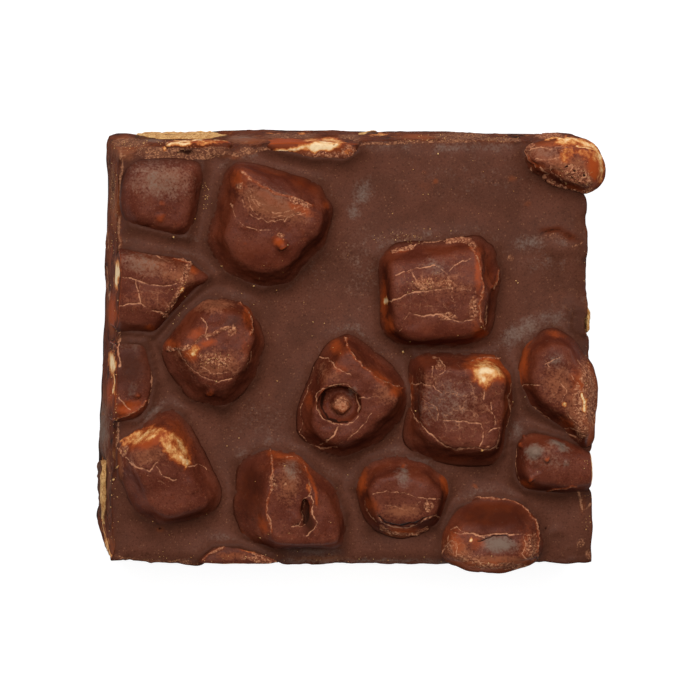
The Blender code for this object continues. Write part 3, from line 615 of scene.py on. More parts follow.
# %% Marks on the marshmallows in the middle
MARKS.update({
    "marshmallow_near_slit": (
        patches("dry", (290, 478, 15, 30, 0.75), (288, 480, 14, 32, 0.85))
        + patches("dim", (249, 488, 17, 34, 0.45), (307, 519, 6, 15, 1.3, -8))
        + patches("deep", (307, 519, 6, 15, 1.3, -8), (251, 485, 17, 36, 1), (306, 512, 7, 18, 1))
        + patches("thin", (284, 456, 22, 7, 0.7, 12), (272, 450, 8, 10, 0.8), (264, 524, 8, 14, 0.75, -20),
            (300, 458, 26, 9, 0.55, 35), (240, 534, 7, 7, 0.6))
        + patches("amber", (309, 487, 3.5, 9, 0.75, 8))
        + patches("crackle", (288, 470, 14, 16, 0.5))
        + patches("keep", (306, 518, 9, 18, 1))
        + patches("scuff", (297, 512, 5, 3, 0.6))
        + patches("torn", (273, 482, 5, 14, 0.5), (286, 485, 2, 3, 0.7))
        + patches("bloom", (291, 470, 11, 14, 0.6))
        + patches("swell", (297, 519, 7, 7, 0.9))
        + lines("crack", (1.5, 272, 489, 268, 500, 268, 512, 272, 522, 271, 534),
            (1.5, 301, 511, 300, 520, 298, 526, 291, 527),
            (1.6, 303, 507, 305, 499, 310, 496, 313, 505, 313, 514),
            (1.6, 313, 514, 318, 522, 313, 530, 307, 536), (1.5, 309, 478, 311, 488, 307, 498))
        + lines("faint", (1.3, 290, 508, 288, 516, 292, 523, 299, 527, 304, 525),
            (1.4, 284, 458, 294, 455, 303, 461, 307, 472))
        + lines("rim",
            (2.4, 270, 446, 271, 458, 272, 470, 272, 484, 269, 498, 267, 511, 270, 521, 273, 532))
        + lines("orange", (3.5, 306, 468, 311, 478, 315, 490, 316, 503))),
    "marshmallow_hollow": (
        patches("dry", (328, 372, 22, 16, 0.6, 30), (386, 395, 18, 11, 0.75, 30), (341, 406, 11, 11, 1.5))
        + patches("crackle", (322, 374, 18, 12, 0.5))
        + patches("keep", (338, 405, 28, 26, 1))
        + patches("scuff", (341, 405, 9, 9, 0.95))
        + patches("thin", (341, 405, 9, 9, 0.5), (336, 346, 10, 12, 0.75, -20), (396, 391, 9, 8, 0.8),
            (380, 378, 18, 6, 0.7, 35), (308, 400, 6, 14, 0.5), (340, 368, 10, 7, 0.5, 30))
        + patches("torn", (342, 399, 5, 3, 0.9), (340, 401, 5, 3, 0.8))
        + patches("bump", (341, 406, 8, 8, 1), (341, 406, 7, 7, 0.9))
        + patches("bloom", (352, 392, 5, 6, 0.7, 40))
        + lines("shade", (3.6, 326, 392, 321, 400, 322, 410, 328, 418, 338, 422, 348, 421))
        + lines("crack", (1.7, 315, 396, 322, 390, 334, 386, 347, 385, 356, 394, 359, 406, 356, 417, 347,
            425, 334, 424, 323, 417, 317, 407, 315, 396), (1.6, 337, 427, 334, 436, 326, 441, 318, 446),
            (1.4, 306, 394, 301, 408, 302, 424, 300, 432, 306, 444, 319, 449, 336, 447),
            (1.4, 318, 357, 326, 358, 334, 364, 342, 371, 350, 376))
        + lines("rim", (2.4, 345, 338, 350, 352, 356, 360, 366, 368, 376, 377, 386, 384, 402, 388))
        + lines("faint", (1.3, 360, 397, 368, 398, 380, 396),
            (1.3, 372, 412, 365, 422, 352, 436, 340, 444), (1.3, 314, 366, 310, 380, 307, 394))),
    "marshmallow_centre_block": (
        patches("deep", (436, 332, 44, 10, 0.5), (491, 272, 7, 24, 0.9))
        + patches("dry", (440, 284, 42, 18, 0.65))
        + patches("crackle", (440, 290, 44, 32, 0.75))
        + patches("cream", (386, 301, 3, 5, 0.85))
        + patches("thin", (384, 300, 5, 26, 0.9), (389, 325, 6, 12, 0.85, -15), (478, 270, 5, 28, 0.8),
            (480, 333, 9, 7, 0.85), (400, 250, 12, 4, 0.8, -10), (475, 320, 5, 20, 0.5))
        + patches("torn", (424, 284, 12, 7, 0.75), (447, 284, 10, 6, 0.7), (448, 317, 12, 4, 0.75),
            (474, 308, 6, 20, 0.55))
        + patches("bloom", (436, 268, 16, 11, 0.45))
        + patches("dark", (438, 279, 5, 3, 0.5))
        + patches("dent", (489, 270, 6, 24, 0.9, -4))
        + lines("crack", (1.9, 388, 301, 400, 298, 407, 295, 414, 292, 424, 291, 440, 290, 452, 288),
            (1.7, 409, 272, 414, 277, 419, 283, 424, 287),
            (1.6, 396, 274, 405, 272, 413, 270, 427, 267, 436, 266),
            (1.7, 408, 313, 418, 315, 430, 316, 441, 315, 450, 320, 462, 321, 475, 319),
            (1.4, 486, 300, 488, 312, 485, 326))
        + lines("faint", (1.4, 452, 289, 453, 300, 456, 312),
            (1.4, 436, 266, 446, 272, 450, 281, 462, 288, 472, 290), (1.4, 450, 270, 460, 262, 470, 259),
            (1.3, 405, 296, 410, 304, 408, 314, 400, 330), (1.8, 408, 248, 424, 243, 440, 241, 452, 240))
        + lines("rim",
            (2.6, 472, 247, 477, 258, 480, 270, 483, 284, 482, 297, 479, 308, 482, 320, 483, 331),
            (1.8, 499, 270, 497, 280, 493, 289))
        + lines("torn", (3.4, 393, 251, 402, 249, 411, 247), (4, 447, 241, 458, 238, 470, 240, 476, 246))),
    "marshmallow_heart_block": (
        patches("bloom", (446, 402, 36, 30, 0.4))
        + patches("crackle", (462, 405, 48, 42, 0.9))
        + patches("dry", (428, 380, 18, 13, 0.6), (468, 408, 40, 28, 0.5))
        + patches("deep", (455, 459, 48, 7, 0.8))
        + patches("amber", (486, 371, 19, 13, 1.5, 8), (484, 382, 7, 9, 1.5))
        + patches("cream", (487, 370, 11, 7, 1, 5), (484, 379, 6, 6, 0.9))
        + patches("thin", (490, 368, 26, 15, 1.5, 10), (410, 394, 5, 22, 0.65), (508, 378, 7, 10, 0.75),
            (506, 410, 5, 30, 0.45, 6))
        + patches("dent", (486, 373, 10, 8, 0.5))
        + patches("torn", (439, 366, 6, 7, 0.55), (487, 447, 3, 2, 0.8))
        + lines("crack", (1.5, 412, 384, 422, 383, 433, 385, 438, 390, 443, 393),
            (1.5, 432, 366, 433, 376, 436, 384), (1.5, 422, 398, 430, 402, 436, 407, 439, 414, 438, 420),
            (1.5, 440, 420, 457, 420, 470, 422, 482, 424, 483, 434, 481, 446),
            (1.4, 487, 432, 492, 429, 499, 427, 500, 440, 496, 448),
            (1.3, 491, 403, 492, 412, 496, 416, 494, 425), (1.8, 413, 415, 421, 425, 429, 433, 437, 441,
            447, 447, 455, 450, 468, 448, 480, 448, 490, 450, 499, 448),
            (1.4, 483, 384, 484, 392, 483, 400), (1.5, 433, 358, 439, 358, 444, 364, 445, 371, 440, 375))
        + lines("faint", (1.4, 412, 376, 410, 390, 411, 408, 415, 420),
            (1.3, 511, 384, 508, 398, 510, 412, 507, 428))
        + lines("rim", (1.8, 471, 361, 484, 357, 500, 359, 512, 366))),
    "marshmallow_near_middle": (
        patches("bloom", (403, 477, 8, 14, 0.62))
        + patches("thin", (403, 466, 3, 4, 0.6), (404, 532, 26, 6, 0.8), (362, 482, 6, 18, 0.9, 10),
            (446, 484, 6, 18, 0.95, -10), (410, 534, 30, 7, 0.6), (372, 505, 8, 14, 0.6, -30),
            (365, 486, 2.5, 3, 1))
        + patches("dry", (402, 511, 28, 10, 0.85), (400, 533, 26, 6, 0.9))
        + patches("torn", (429, 506, 6, 6, 0.7))
        + patches("gloss", (402, 474, 26, 16, 0.7))
        + patches("swell", (402, 472, 8, 8, 0.5))
        + lines("slit", (1.5, 378, 516, 384, 521, 392, 525, 402, 526, 414, 523, 425, 518))
        + lines("crack", (1.6, 376, 513, 382, 523, 394, 528, 408, 528, 420, 523, 430, 516),
            (1.6, 428, 518, 436, 515, 441, 520, 438, 527, 431, 529), (1.5, 364, 500, 368, 512, 376, 522))
        + lines("torn", (3, 381, 527, 391, 532, 404, 535, 416, 534, 427, 529))
        + lines("faint", (1.4, 372, 494, 388, 492, 405, 494, 425, 499, 440, 500),
            (1.3, 385, 505, 396, 506, 404, 511, 412, 510, 420, 503))),
})
print("marks written for", len(MARKS), "marshmallows")

# %% Marks on the marshmallows at the right and the cut sides
MARKS.update({
    "marshmallow_right_oval": (
        patches("dry", (588, 400, 11, 42, 1.5, -4), (560, 386, 26, 30, 0.75, -20),
            (577, 408, 16, 26, 0.8, -10))
        + patches("torn", (590, 398, 9, 36, 0.8, -6), (582, 430, 8, 12, 0.7), (580, 404, 10, 26, 0.6, -10))
        + patches("crackle", (568, 398, 26, 34, 0.6))
        + patches("thin", (524, 358, 7, 26, 0.85), (582, 396, 12, 34, 0.8, -10),
            (568, 424, 14, 8, 0.6, 30), (556, 334, 16, 5, 0.6, 10))
        + patches("cream", (565, 404, 4, 2.5, 0.8))
        + patches("bloom", (556, 361, 11, 9, 0.5))
        + lines("orange", (3, 534, 336, 526, 346, 522, 358, 520, 370, 521, 384))
        + lines("crack", (1.7, 520, 384, 523, 395, 528, 404, 540, 412, 549, 420, 559, 428, 566, 433),
            (1.3, 544, 360, 550, 368), (1.3, 545, 366, 552, 361, 560, 357),
            (1.4, 522, 386, 532, 384, 541, 387),
            (1.6, 558, 429, 566, 434, 576, 437, 580, 431, 570, 428, 562, 430))
        + lines("cream", (3, 583, 394, 585, 402, 584, 411))
        + lines("faint", (1.4, 560, 380, 566, 390, 562, 402, 568, 414, 578, 424),
            (1.4, 578, 360, 588, 376, 592, 392), (1.4, 572, 374, 580, 388, 578, 404))),
    "marshmallow_right_gloss": (
        patches("bloom", (548, 458, 28, 14, 0.35, 10), (535, 452, 11, 9, 1, 10),
            (559, 446, 13, 4.5, 1, 25), (566, 463, 5, 5, 0.6))
        + patches("dry", (545, 455, 26, 14, 0.5, 10))
        + patches("gloss", (545, 456, 34, 26, 1))
        + patches("bump", (547, 459, 4, 4, 1), (531, 480, 3.5, 3.5, 0.8), (522, 445, 4, 3.5, 0.8),
            (524, 437, 3, 3, 0.7), (567, 463, 3, 3, 0.5))
        + patches("thin", (526, 484, 12, 5, 0.7, 20))
        + patches("dent", (536, 470, 7, 6, 0.6))
        + patches("swell", (535, 453, 7, 6, 0.6, 20), (556, 446, 12, 5, 0.6, 30))
        + lines("rim", (1.8, 518, 487, 528, 491, 545, 492, 560, 489, 577, 486))
        + lines("faint", (1.4, 516, 448, 515, 462, 517, 476, 521, 486))),
    "marshmallow_near_bulge": (
        patches("torn", (500, 566, 34, 4, 0.8), (531, 547, 8, 16, 0.6), (470, 560, 24, 5, 0.5, 14),
            (450, 548, 8, 10, 0.4))
        + patches("scuff", (478, 556, 24, 8, 0.65, 10))
        + patches("deep", (493, 514, 46, 15, 1.3))
        + patches("dim", (495, 516, 42, 16, 0.45))
        + patches("dry", (456, 550, 18, 15, 1), (530, 548, 14, 16, 0.8), (495, 562, 44, 7, 1.4))
        + patches("crackle", (460, 548, 22, 14, 0.8))
        + patches("thin", (455, 542, 16, 22, 0.6, 20), (529, 545, 12, 20, 0.6), (490, 563, 40, 5, 0.5),
            (476, 543, 12, 9, 0.6))
        + patches("bloom", (499, 544, 21, 9, 1, 4))
        + patches("cream", (471, 541, 2.5, 3, 0.9))
        + lines("rim", (2, 452, 509, 460, 501, 472, 498, 488, 498, 504, 499, 518, 502, 527, 509, 534, 519,
            538, 530), (1.8, 538, 532, 539, 545, 536, 556))
        + lines("crack", (1.6, 450, 530, 457, 526, 466, 533, 478, 534, 485, 537),
            (1.5, 444, 548, 452, 541, 458, 547, 455, 556), (1.4, 448, 535, 446, 545, 440, 556),
            (1.5, 452, 533, 466, 534, 480, 535, 500, 534, 520, 534, 536, 534),
            (1.4, 522, 536, 526, 545, 522, 553, 528, 560))
        + lines("shade", (1.4, 478, 541, 486, 538, 496, 536, 506, 536, 512, 539))
        + lines("faint", (1.4, 456, 553, 468, 556, 480, 562, 500, 564))),
    "marshmallow_near_sliver": (
        patches("dry", (232, 556, 24, 6, 0.8))
        + patches("thin", (232, 555, 30, 8, 0.35))
        + patches("torn", (258, 560, 20, 4, 0.8, 10))
        + patches("amber", (246, 551, 12, 3, 0.7, 10))
        + patches("scuff", (215, 551, 12, 3, 0.9, -20))
        + lines("rim", (2.4, 203, 560, 211, 552, 223, 547, 236, 546, 250, 549, 264, 555, 280, 562))
        + lines("torn", (2.2, 252, 552, 262, 558, 276, 563))),
    "marshmallow_far_right_corner": (
        patches("torn", (546, 135, 18, 4, 0.9, 4), (530, 147, 8, 7, 0.6), (578, 176, 19, 9, 0.95, 32),
            (566, 150, 10, 6, 0.5, 10))
        + patches("dry", (560, 136, 44, 7, 1.5, 4), (540, 150, 22, 14, 0.85, 10),
            (570, 168, 34, 18, 1, 25))
        + patches("bloom", (546, 153, 20, 8, 0.5, 10))
        + patches("crackle", (545, 153, 24, 12, 1, 10), (560, 160, 30, 20, 0.8))
        + patches("thin", (538, 140, 18, 7, 0.8, -10), (548, 156, 26, 12, 0.35, 15),
            (594, 168, 10, 24, 1, -10), (575, 190, 22, 6, 0.7, 10))
        + patches("scuff", (560, 168, 26, 16, 0.62, 20))
        + patches("cream", (591, 150, 8, 5, 0.4, 40))
        + patches("amber", (566, 142, 18, 5, 1, 6), (567, 153, 9, 14, 0.95, 12),
            (597, 158, 7, 20, 0.72, -12), (582, 152, 14, 8, 0.8, 30))
        + patches("deep", (556, 173, 9, 6, 1.1, 25), (536, 167, 12, 5, 1.1, 20))
        + patches("dark", (567, 167, 2.2, 1.6, 0.9), (575, 171, 2.6, 1.6, 0.9, 20),
            (584, 175, 2, 1.6, 0.8), (572, 178, 2, 1.4, 0.7))
        + patches("dent", (556, 172, 9, 6, 0.7, 25), (538, 166, 12, 5, 0.6, 20))
        + lines("crack", (1.6, 531, 151, 540, 147, 552, 149, 563, 145),
            (1.7, 530, 168, 534, 175, 542, 177, 548, 174, 541, 170))
        + lines("faint", (1.5, 536, 159, 548, 161, 560, 157, 572, 161),
            (1.4, 565, 149, 563, 157, 562, 164), (1.4, 571, 148, 569, 160),
            (1.5, 550, 165, 551, 174, 560, 179, 570, 187))
        + lines("pale", (2.2, 546, 140, 556, 138, 566, 139, 576, 141),
            (6, 566, 139, 584, 142, 594, 147, 600, 157, 602, 168, 600, 181),
            (1.5, 577, 146, 586, 147, 594, 151))
        + lines("torn", (3, 545, 178, 556, 185, 568, 190, 580, 192, 592, 190))
        + lines("rim", (2, 524, 148, 530, 160, 536, 168))),
    "marshmallow_far_sliver": (
        patches("thin", (315, 150, 55, 12, 0.7), (284, 143, 26, 4.5, 1.5), (340, 145, 8, 5, 1.2, 20),
            (286, 146, 20, 8, 0.95, -5), (340, 150, 20, 9, 0.8))
        + patches("torn", (325, 154, 36, 5, 0.5), (349, 152, 9, 7, 0.85))
        + patches("dry", (320, 152, 46, 8, 1.1))
        + patches("cream", (322, 146, 22, 5.5, 1.3, -8))
        + patches("amber", (312, 141, 12, 3.5, 1, -6), (350, 152, 8, 6, 0.6, 30),
            (328, 140, 14, 4, 1.1, -8))
        + patches("dark", (334, 143, 2, 2, 0.6))
        + lines("cream", (4.5, 274, 152, 290, 150, 305, 147, 320, 146, 337, 143))
        + lines("torn", (2.6, 268, 150, 284, 156, 300, 158, 325, 160, 340, 160, 356, 157))),
    "marshmallow_far_side": (
        patches("thin", (205, 147, 50, 12, 0.9), (210, 147, 26, 6, 1))
        + patches("torn", (200, 150, 40, 5, 0.5))
        + patches("dry", (195, 149, 40, 8, 0.9))
        + patches("amber", (208, 143, 20, 3.5, 0.8, -2))
        + lines("cream", (4.5, 166, 144.5, 176, 142.5, 189, 143))
        + lines("pale", (1.8, 189, 141, 205, 140, 222, 139.5, 232, 140))),
})
print("marks written for", len(MARKS), "marshmallows")

# %% [markdown]
# The left side is cut through chocolate and marshmallows alike, so its marks don't belong to one
# piece. They are painted on everything that lies there: a cream sliver of marshmallow, streaks of
# thin coat, and the pale lines that the knife dragged.

# %% Marks on the left side
LEFT_SIDE_MARKS = (
    patches("cream", (117, 275, 2.4, 18, 1, 4), (112, 363, 3.8, 13, 1))
    + patches("thin", (114, 200, 6, 44, 0.85), (112, 314, 6, 26, 1), (110, 250, 5, 30, 0.5),
        (110, 392, 7, 18, 0.8), (112, 545, 3, 16, 0.8, -15))
    + patches("bloom", (102, 428, 7, 36, 0.7))
    + patches("scuff", (115, 205, 4, 46, 0.8))
    + patches("torn", (113, 190, 4, 34, 0.6))
    + patches("dry", (105, 425, 5, 46, 0.9), (109, 490, 2.5, 40, 1))
    + patches("dark", (116, 330, 2, 24, 0.5), (113, 190, 2.5, 26, 0.5), (110, 500, 2.5, 30, 0.6))
    + lines("pale", (2.4, 114, 374, 114, 384, 113, 393), (1.5, 102, 512, 103, 522, 104, 532),
        (1.5, 103, 458, 103, 466, 103, 474))
    + lines("crack", (1.8, 107, 268, 107, 280, 108, 291, 109, 302), (2, 119, 338, 119, 352, 119, 366))
    + lines("faint", (1.5, 109, 155, 108, 200, 108, 250))
    + lines("cream", (2.2, 104, 528, 105, 537, 108, 547, 111, 556)))
print("marks on the left side:", len(LEFT_SIDE_MARKS))

# %% [markdown]
# A marshmallow is a copy of its solid. Voxel Remesh turns the facets into even squares, Smooth rounds
# them off, and the part that shows is divided once more. Then numpy swells and dimples it, flares it
# where it stands in the chocolate, and paints its marks. Sculpting by hand would give the same
# relief, but a rule with a seed can be read and changed.

# %% Dress a marshmallow
COARSE = 0.25
SLAB_LEVEL = 20.0
CUT_SIDES = {"marshmallow_left_upper": (-1, 0), "marshmallow_left_edge": (-1, 0),
             "marshmallow_right_gloss": (1, 0), "marshmallow_near_sliver": (0, -1),
             "marshmallow_far_sliver": (0, 1), "marshmallow_far_side": (0, 1)}
ROUNDING = {"marshmallow_near_sliver": 12, "marshmallow_far_sliver": 12, "marshmallow_far_side": 8,
            "marshmallow_left_upper": 22, "marshmallow_centre_block": 20, "marshmallow_heart_block": 22,
            "marshmallow_right_oval": 36, "marshmallow_far_left": 36, "marshmallow_near_bulge": 30}
USUAL_ROUNDING = 26
SIDE_REACH = (35.0, 31.0)
FOOT_LEVEL = 21.3
FLARE = 0.6
# Grain size and height of each swell, in millimetres
SWELLS = ((4.2, 0.28), (1.7, 0.13), (0.8, 0.05), (0.4, 0.02))
GRABS = {"marshmallow_far_left_corner": (Grab(124, 195, 14, 44, (-0.9, 0.0)),),
         "marshmallow_left_upper": (Grab(203, 277, 16, 14, (1.1, 0.0)),),
         "marshmallow_near_left": (Grab(120, 462, 14, 44, (-0.6, 0.0)),),
         "marshmallow_heart_block": (Grab(455, 460, 64, 18, (0.0, -0.9)),
                                     Grab(408, 436, 16, 34, (-0.9, 0.0))),
         "marshmallow_near_middle": (Grab(402, 532, 42, 20, (0.0, -2.2)),),
         "marshmallow_right_oval": (Grab(582, 430, 26, 22, (0.5, -2.2)),
                                    Grab(600, 412, 18, 40, (-0.45, 0.0))),
         "marshmallow_far_right_corner": (Grab(568, 132, 44, 12, (0.0, -0.35)),)}


def showing(points):
    """Above the chocolate or past one of its sides, from nought to one."""
    shown = step(points[:, 2], SLAB_LEVEL - 1.2, SLAB_LEVEL - 0.4)
    for axis, reach in enumerate(SIDE_REACH):
        away = np.abs(points[:, axis] - PICTURE_MIDDLE[axis] / MM)
        shown = np.maximum(shown, step(away, reach - 0.8, reach - 0.2))
    return shown


def crispness(points, marks):
    """One along rims, torn edges and in places to be kept, falling to nought a little way off."""
    seen = seen_at(points)
    crisp = np.zeros(len(points))
    for mark in marks:
        if isinstance(mark, Line) and mark.kind in ("rim", "torn", "slit"):
            crisp = np.maximum(crisp, 0.8 * (1.0 - step(distance_to_line(seen, mark.points), 2.0, 8.0)))
        if isinstance(mark, Patch) and mark.kind == "keep":
            crisp = np.maximum(crisp, step(patch_closeness(seen, mark), 0.0, 0.4) * mark.strength)
    return crisp[:, None]


def dress_marshmallow(node_name, seed):
    marks = MARKS[node_name] + LEFT_SIDE_MARKS
    piece = merged_copy(node_name, "dressed_" + node_name)
    apply_modifier(piece, "REMESH", mode="VOXEL", voxel_size=COARSE * MM)
    apply_modifier(piece, "SMOOTH", factor=0.5, iterations=5)
    points = points_of(piece)
    # Rounded all over, but for its rims and torn edges
    soft = evened(points, neighbours_of(piece), ROUNDING.get(node_name, USUAL_ROUNDING))
    points = soft + (points - soft) * crispness(points, marks)
    seen = seen_at(points)
    for grab in GRABS.get(node_name, ()):
        reach = np.hypot((seen[:, 0] - grab.x) / grab.half_x, (seen[:, 1] - grab.y) / grab.half_y)
        points[:, :2] += step(reach, 1.0, 0.0)[:, None] * grab.move
    put_points(piece, points)
    # The part that shows is divided once more
    select_points(piece, showing(points_of(piece)) > 0.1)
    bpy.ops.object.mode_set(mode="EDIT")
    bpy.ops.mesh.subdivide(number_cuts=1)
    bpy.ops.object.mode_set(mode="OBJECT")
    apply_modifier(piece, "SMOOTH", factor=0.5, iterations=2)

    points = points_of(piece)
    neighbours = neighbours_of(piece)
    shown = showing(points)
    normals = evened(normals_of(piece), neighbours, 6)
    # Swells and dimples, and a flare where it stands in the chocolate
    swell = sum(grain(points, size, seed + 10 * i) * height for i, (size, height) in enumerate(SWELLS))
    flare = FLARE * np.exp(-np.maximum(points[:, 2] - FOOT_LEVEL, 0.0) / FLARE)
    if node_name in CUT_SIDES:
        flare *= 0.3 * (normals @ np.array((*CUT_SIDES[node_name], 0), float) < 0.4)
        swell *= 0.6
    outward = normals * (1, 1, 0)
    points += normals * (swell * shown)[:, None] + outward * (flare * shown)[:, None]
    put_points(piece, points)

    normals = normals_of(piece)
    layers, rise = paint(points, normals, marks, seed)
    # Ridges wear thin; steep walls take the darker, redder tone with painted shade, and the foot painted
    # shade
    rounded = evened(points, neighbours, 40)
    bulge = np.sum((points - rounded) * normals, axis=1)
    slope = evened(normals[:, 2], neighbours, 4)
    over_slab = points[:, 2] - SLAB_LEVEL
    ridge = step(bulge, 0.04, 0.17) * step(over_slab, 1.0, 2.0)
    add_to(layers, "thin", ridge * 0.7)
    add_to(layers, "wall", step(1.0 - slope, 0.12, 0.75) * 0.8)
    add_to(layers, "foot", step(-over_slab, -2.4, -0.8) * 0.8)
    if node_name in CUT_SIDES:
        face = np.array((*CUT_SIDES[node_name], 0), float)
        cut = evened((normals @ face > 0.8).astype(float), neighbours, 12)
        layers["cut"] = step(cut, 0.5, 0.95)
        if CUT_SIDES[node_name] in ((1, 0), (0, -1)):
            inner = grain(points * (1, 1, 0.5), 1.8, seed + 40) * 0.5 + 0.6
            add_to(layers, "bare", layers["cut"] * inner)
        layers["foot"] *= 1.0 - step(cut, 0.2, 0.6)
        layers["wall"] *= 1.0 - step(cut, 0.5, 0.9)
        add_to(layers, "thin", step(cut, 0.1, 0.4) * step(cut, 0.8, 0.5) * 0.7)
        rise *= 1.0 - step(cut, 0.3, 0.8) * 0.5
    else:
        outside = step(np.abs(points[:, 0]), 34.6, 35.4) + step(np.abs(points[:, 1]), 30.6, 31.4)
        outside = np.minimum(outside, 1.0)
        add_to(layers, "dry", outside * 0.8)
        add_to(layers, "thin", outside * 0.6)
        layers["wall"] *= 1.0 - 0.6 * outside
    points += normals * (rise * shown)[:, None]
    put_points(piece, points)
    keep_layers(piece, layers)
    piece.data.materials.append(coat_material)
    piece.data.shade_smooth()
    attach(piece, "root")
    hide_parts(node_name)
    return piece


marshmallows = [dress_marshmallow(name, 11 + 3 * number) for number, name in enumerate(MARKS)]
for piece in marshmallows:
    print(piece.name, len(piece.data.polygons), "faces")

# %% [markdown]
# The chocolate is one block without pockets, because the real one is poured round the marshmallows
# and leaves no gap. It starts as a grid whose edge is extruded down, row by row, and closed
# underneath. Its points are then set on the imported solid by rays, and where a ray falls into a
# pocket the surface is filled in from round about and dips under the marshmallow.

# %% Chocolate block as a regular grid
GRID_X = 236
GRID_Y = 210
SIDE_ROWS = 50

bpy.ops.object.select_all(action="DESELECT")
bpy.ops.mesh.primitive_grid_add(x_subdivisions=GRID_X, y_subdivisions=GRID_Y, size=1.0, location=(0, 0, 1))
slab = bpy.context.object
slab.name = "dressed_chocolate"
bpy.ops.object.mode_set(mode="EDIT")
bpy.ops.mesh.select_all(action="DESELECT")
bpy.ops.mesh.select_mode(type="EDGE")
bpy.ops.mesh.select_non_manifold()
for _ in range(SIDE_ROWS):
    bpy.ops.mesh.extrude_region_move(TRANSFORM_OT_translate={"value": (0, 0, -1 / SIDE_ROWS)})
bpy.ops.mesh.edge_face_add()
bpy.ops.mesh.select_all(action="SELECT")
bpy.ops.mesh.normals_make_consistent(inside=False)
bpy.ops.object.mode_set(mode="OBJECT")
bpy.ops.object.transform_apply(location=True, rotation=True, scale=True)
print("chocolate grid:", len(slab.data.vertices), "points")

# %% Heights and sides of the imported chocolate
def surface_tree(things):
    corners, faces, start = [], [], 0
    for thing in things:
        corners += [v.co / MM for v in thing.data.vertices]
        faces += [tuple(index + start for index in p.vertices) for p in thing.data.polygons]
        start = len(corners)
    return BVHTree.FromPolygons(corners, faces)


solid_tree = surface_tree([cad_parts["chocolate_slab"]])
others = [thing for name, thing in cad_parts.items() if name != "chocolate_slab"]
others_tree = surface_tree(others)
low, high = (np.array(corner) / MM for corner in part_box("chocolate_slab"))
FAR_AWAY = 80.0


def cast(origin, direction):
    hit = solid_tree.ray_cast(Vector(origin), Vector(direction))[0]
    return None if hit is None else np.array(hit)


def cell_tree(chosen, cell):
    """The rows and columns chosen in a grid, and a tree that finds the nearest of them."""
    rows, columns = np.nonzero(chosen)
    tree = KDTree(len(rows))
    for index, (row, column) in enumerate(zip(rows, columns)):
        tree.insert((row * cell[0], column * cell[1], 0.0), index)
    tree.balance()
    return rows, columns, tree


def around(values):
    """The sum of the four neighbours of each place in a grid."""
    spread = np.pad(values, 1, mode="edge")
    return spread[2:, 1:-1] + spread[:-2, 1:-1] + spread[1:-1, 2:] + spread[1:-1, :-2]


def filled_in(raw, known, dip, reach, cell):
    """Fills in what isn't known from round about, and lets it dip by the distance from what is."""
    rows, columns, tree = cell_tree(known, cell)
    full = raw.copy()
    depth = np.zeros(raw.shape)
    for row, column in zip(*np.nonzero(~known)):
        _, index, distance = tree.find((row * cell[0], column * cell[1], 0.0))
        full[row, column] = raw[rows[index], columns[index]]
        depth[row, column] = distance
    for _ in range(60):
        full = np.where(known, full, around(full) / 4)
    return full - dip * step(depth, reach * 0.35, reach)


def even_grid(values, rounds):
    for _ in range(rounds):
        values = around(values) / 8 + values / 2
    return values


SIDE_HEIGHTS = np.linspace(0.4, 18.4, 37)
SIDES = {"left": (0, -1), "right": (0, 1), "near": (1, -1), "far": (1, 1)}
END_INSET = 2.2
SIDE_DIP = 0.7


def widened(mask):
    return mask | (around(mask.astype(int)) > 0)


def side_table(axis, sign):
    """How far out a side is, over places along it and heights."""
    places = np.linspace(low[1 - axis] + END_INSET, high[1 - axis] - END_INSET, 200)
    raw = np.zeros((len(places), len(SIDE_HEIGHTS)))
    pocket = np.zeros(raw.shape, bool)
    direction = [0.0, 0.0, 0.0]
    direction[axis] = -sign
    for i, place in enumerate(places):
        for j, height in enumerate(SIDE_HEIGHTS):
            origin = [place, place, height]
            origin[axis] = sign * FAR_AWAY
            hit = cast(origin, direction)
            other = others_tree.ray_cast(Vector(origin), Vector(direction))[0]
            raw[i, j] = hit[axis] * sign if hit is not None else 0.0
            pocket[i, j] = other is not None and other[axis] * sign > raw[i, j] - 0.3
    known = ~widened(widened(pocket)) & (raw > 0.0)
    cell = (places[1] - places[0], SIDE_HEIGHTS[1] - SIDE_HEIGHTS[0])
    table = filled_in(np.where(known, raw, 0.0), known, SIDE_DIP, 1.8, cell)
    return places, even_grid(table, 8) * sign


side_tables = {name: side_table(*side) for name, side in SIDES.items()}


def side_at(name, place, height):
    """How far out a side is, worked out between the places and heights that were measured."""
    places, table = side_tables[name]
    i = np.clip((place - places[0]) / (places[1] - places[0]), 0, len(places) - 1.001)
    j = (height - SIDE_HEIGHTS[0]) / (SIDE_HEIGHTS[1] - SIDE_HEIGHTS[0])
    j = np.clip(j, 0, len(SIDE_HEIGHTS) - 1.001)
    a, b = i.astype(int), j.astype(int)
    s, t = i - a, j - b
    return (table[a, b] * (1 - s) * (1 - t) + table[a + 1, b] * s * (1 - t)
            + table[a, b + 1] * (1 - s) * t + table[a + 1, b + 1] * s * t)


print("sides measured:", {name: round(float(np.median(t[1])), 1) for name, t in side_tables.items()})

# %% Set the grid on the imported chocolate
CORNER_ROUNDING = 0.014
CORNER_SHARE = 0.1
NEAR_CORNER_REACH = 0.2
NEAR_RIGHT_REACH = 0.7
LEFT_CORNER_REACH = 0.6
FAR_LEFT_REACH = 0.55
FAR_REACH = 0.25
LEFT_BULGE = 2.0
POCKET_DIP = 3.0
ON_TOP = 0.999
grid = points_of(slab) * MM
u, v, w = grid[:, 0] + 0.5, grid[:, 1] + 0.5, grid[:, 2]
place_x = low[0] + (high[0] - low[0]) * u
place_y = low[1] + (high[1] - low[1]) * v
height = w * (SLAB_LEVEL - 0.6)
left, far_right = side_at("left", place_y, height), side_at("right", place_y, height)
near, far = side_at("near", place_x, height), side_at("far", place_x, height)


def near_end(share):
    return np.maximum(0.0, 1.0 - (1.0 - np.abs(2.0 * share - 1.0)) / CORNER_SHARE)


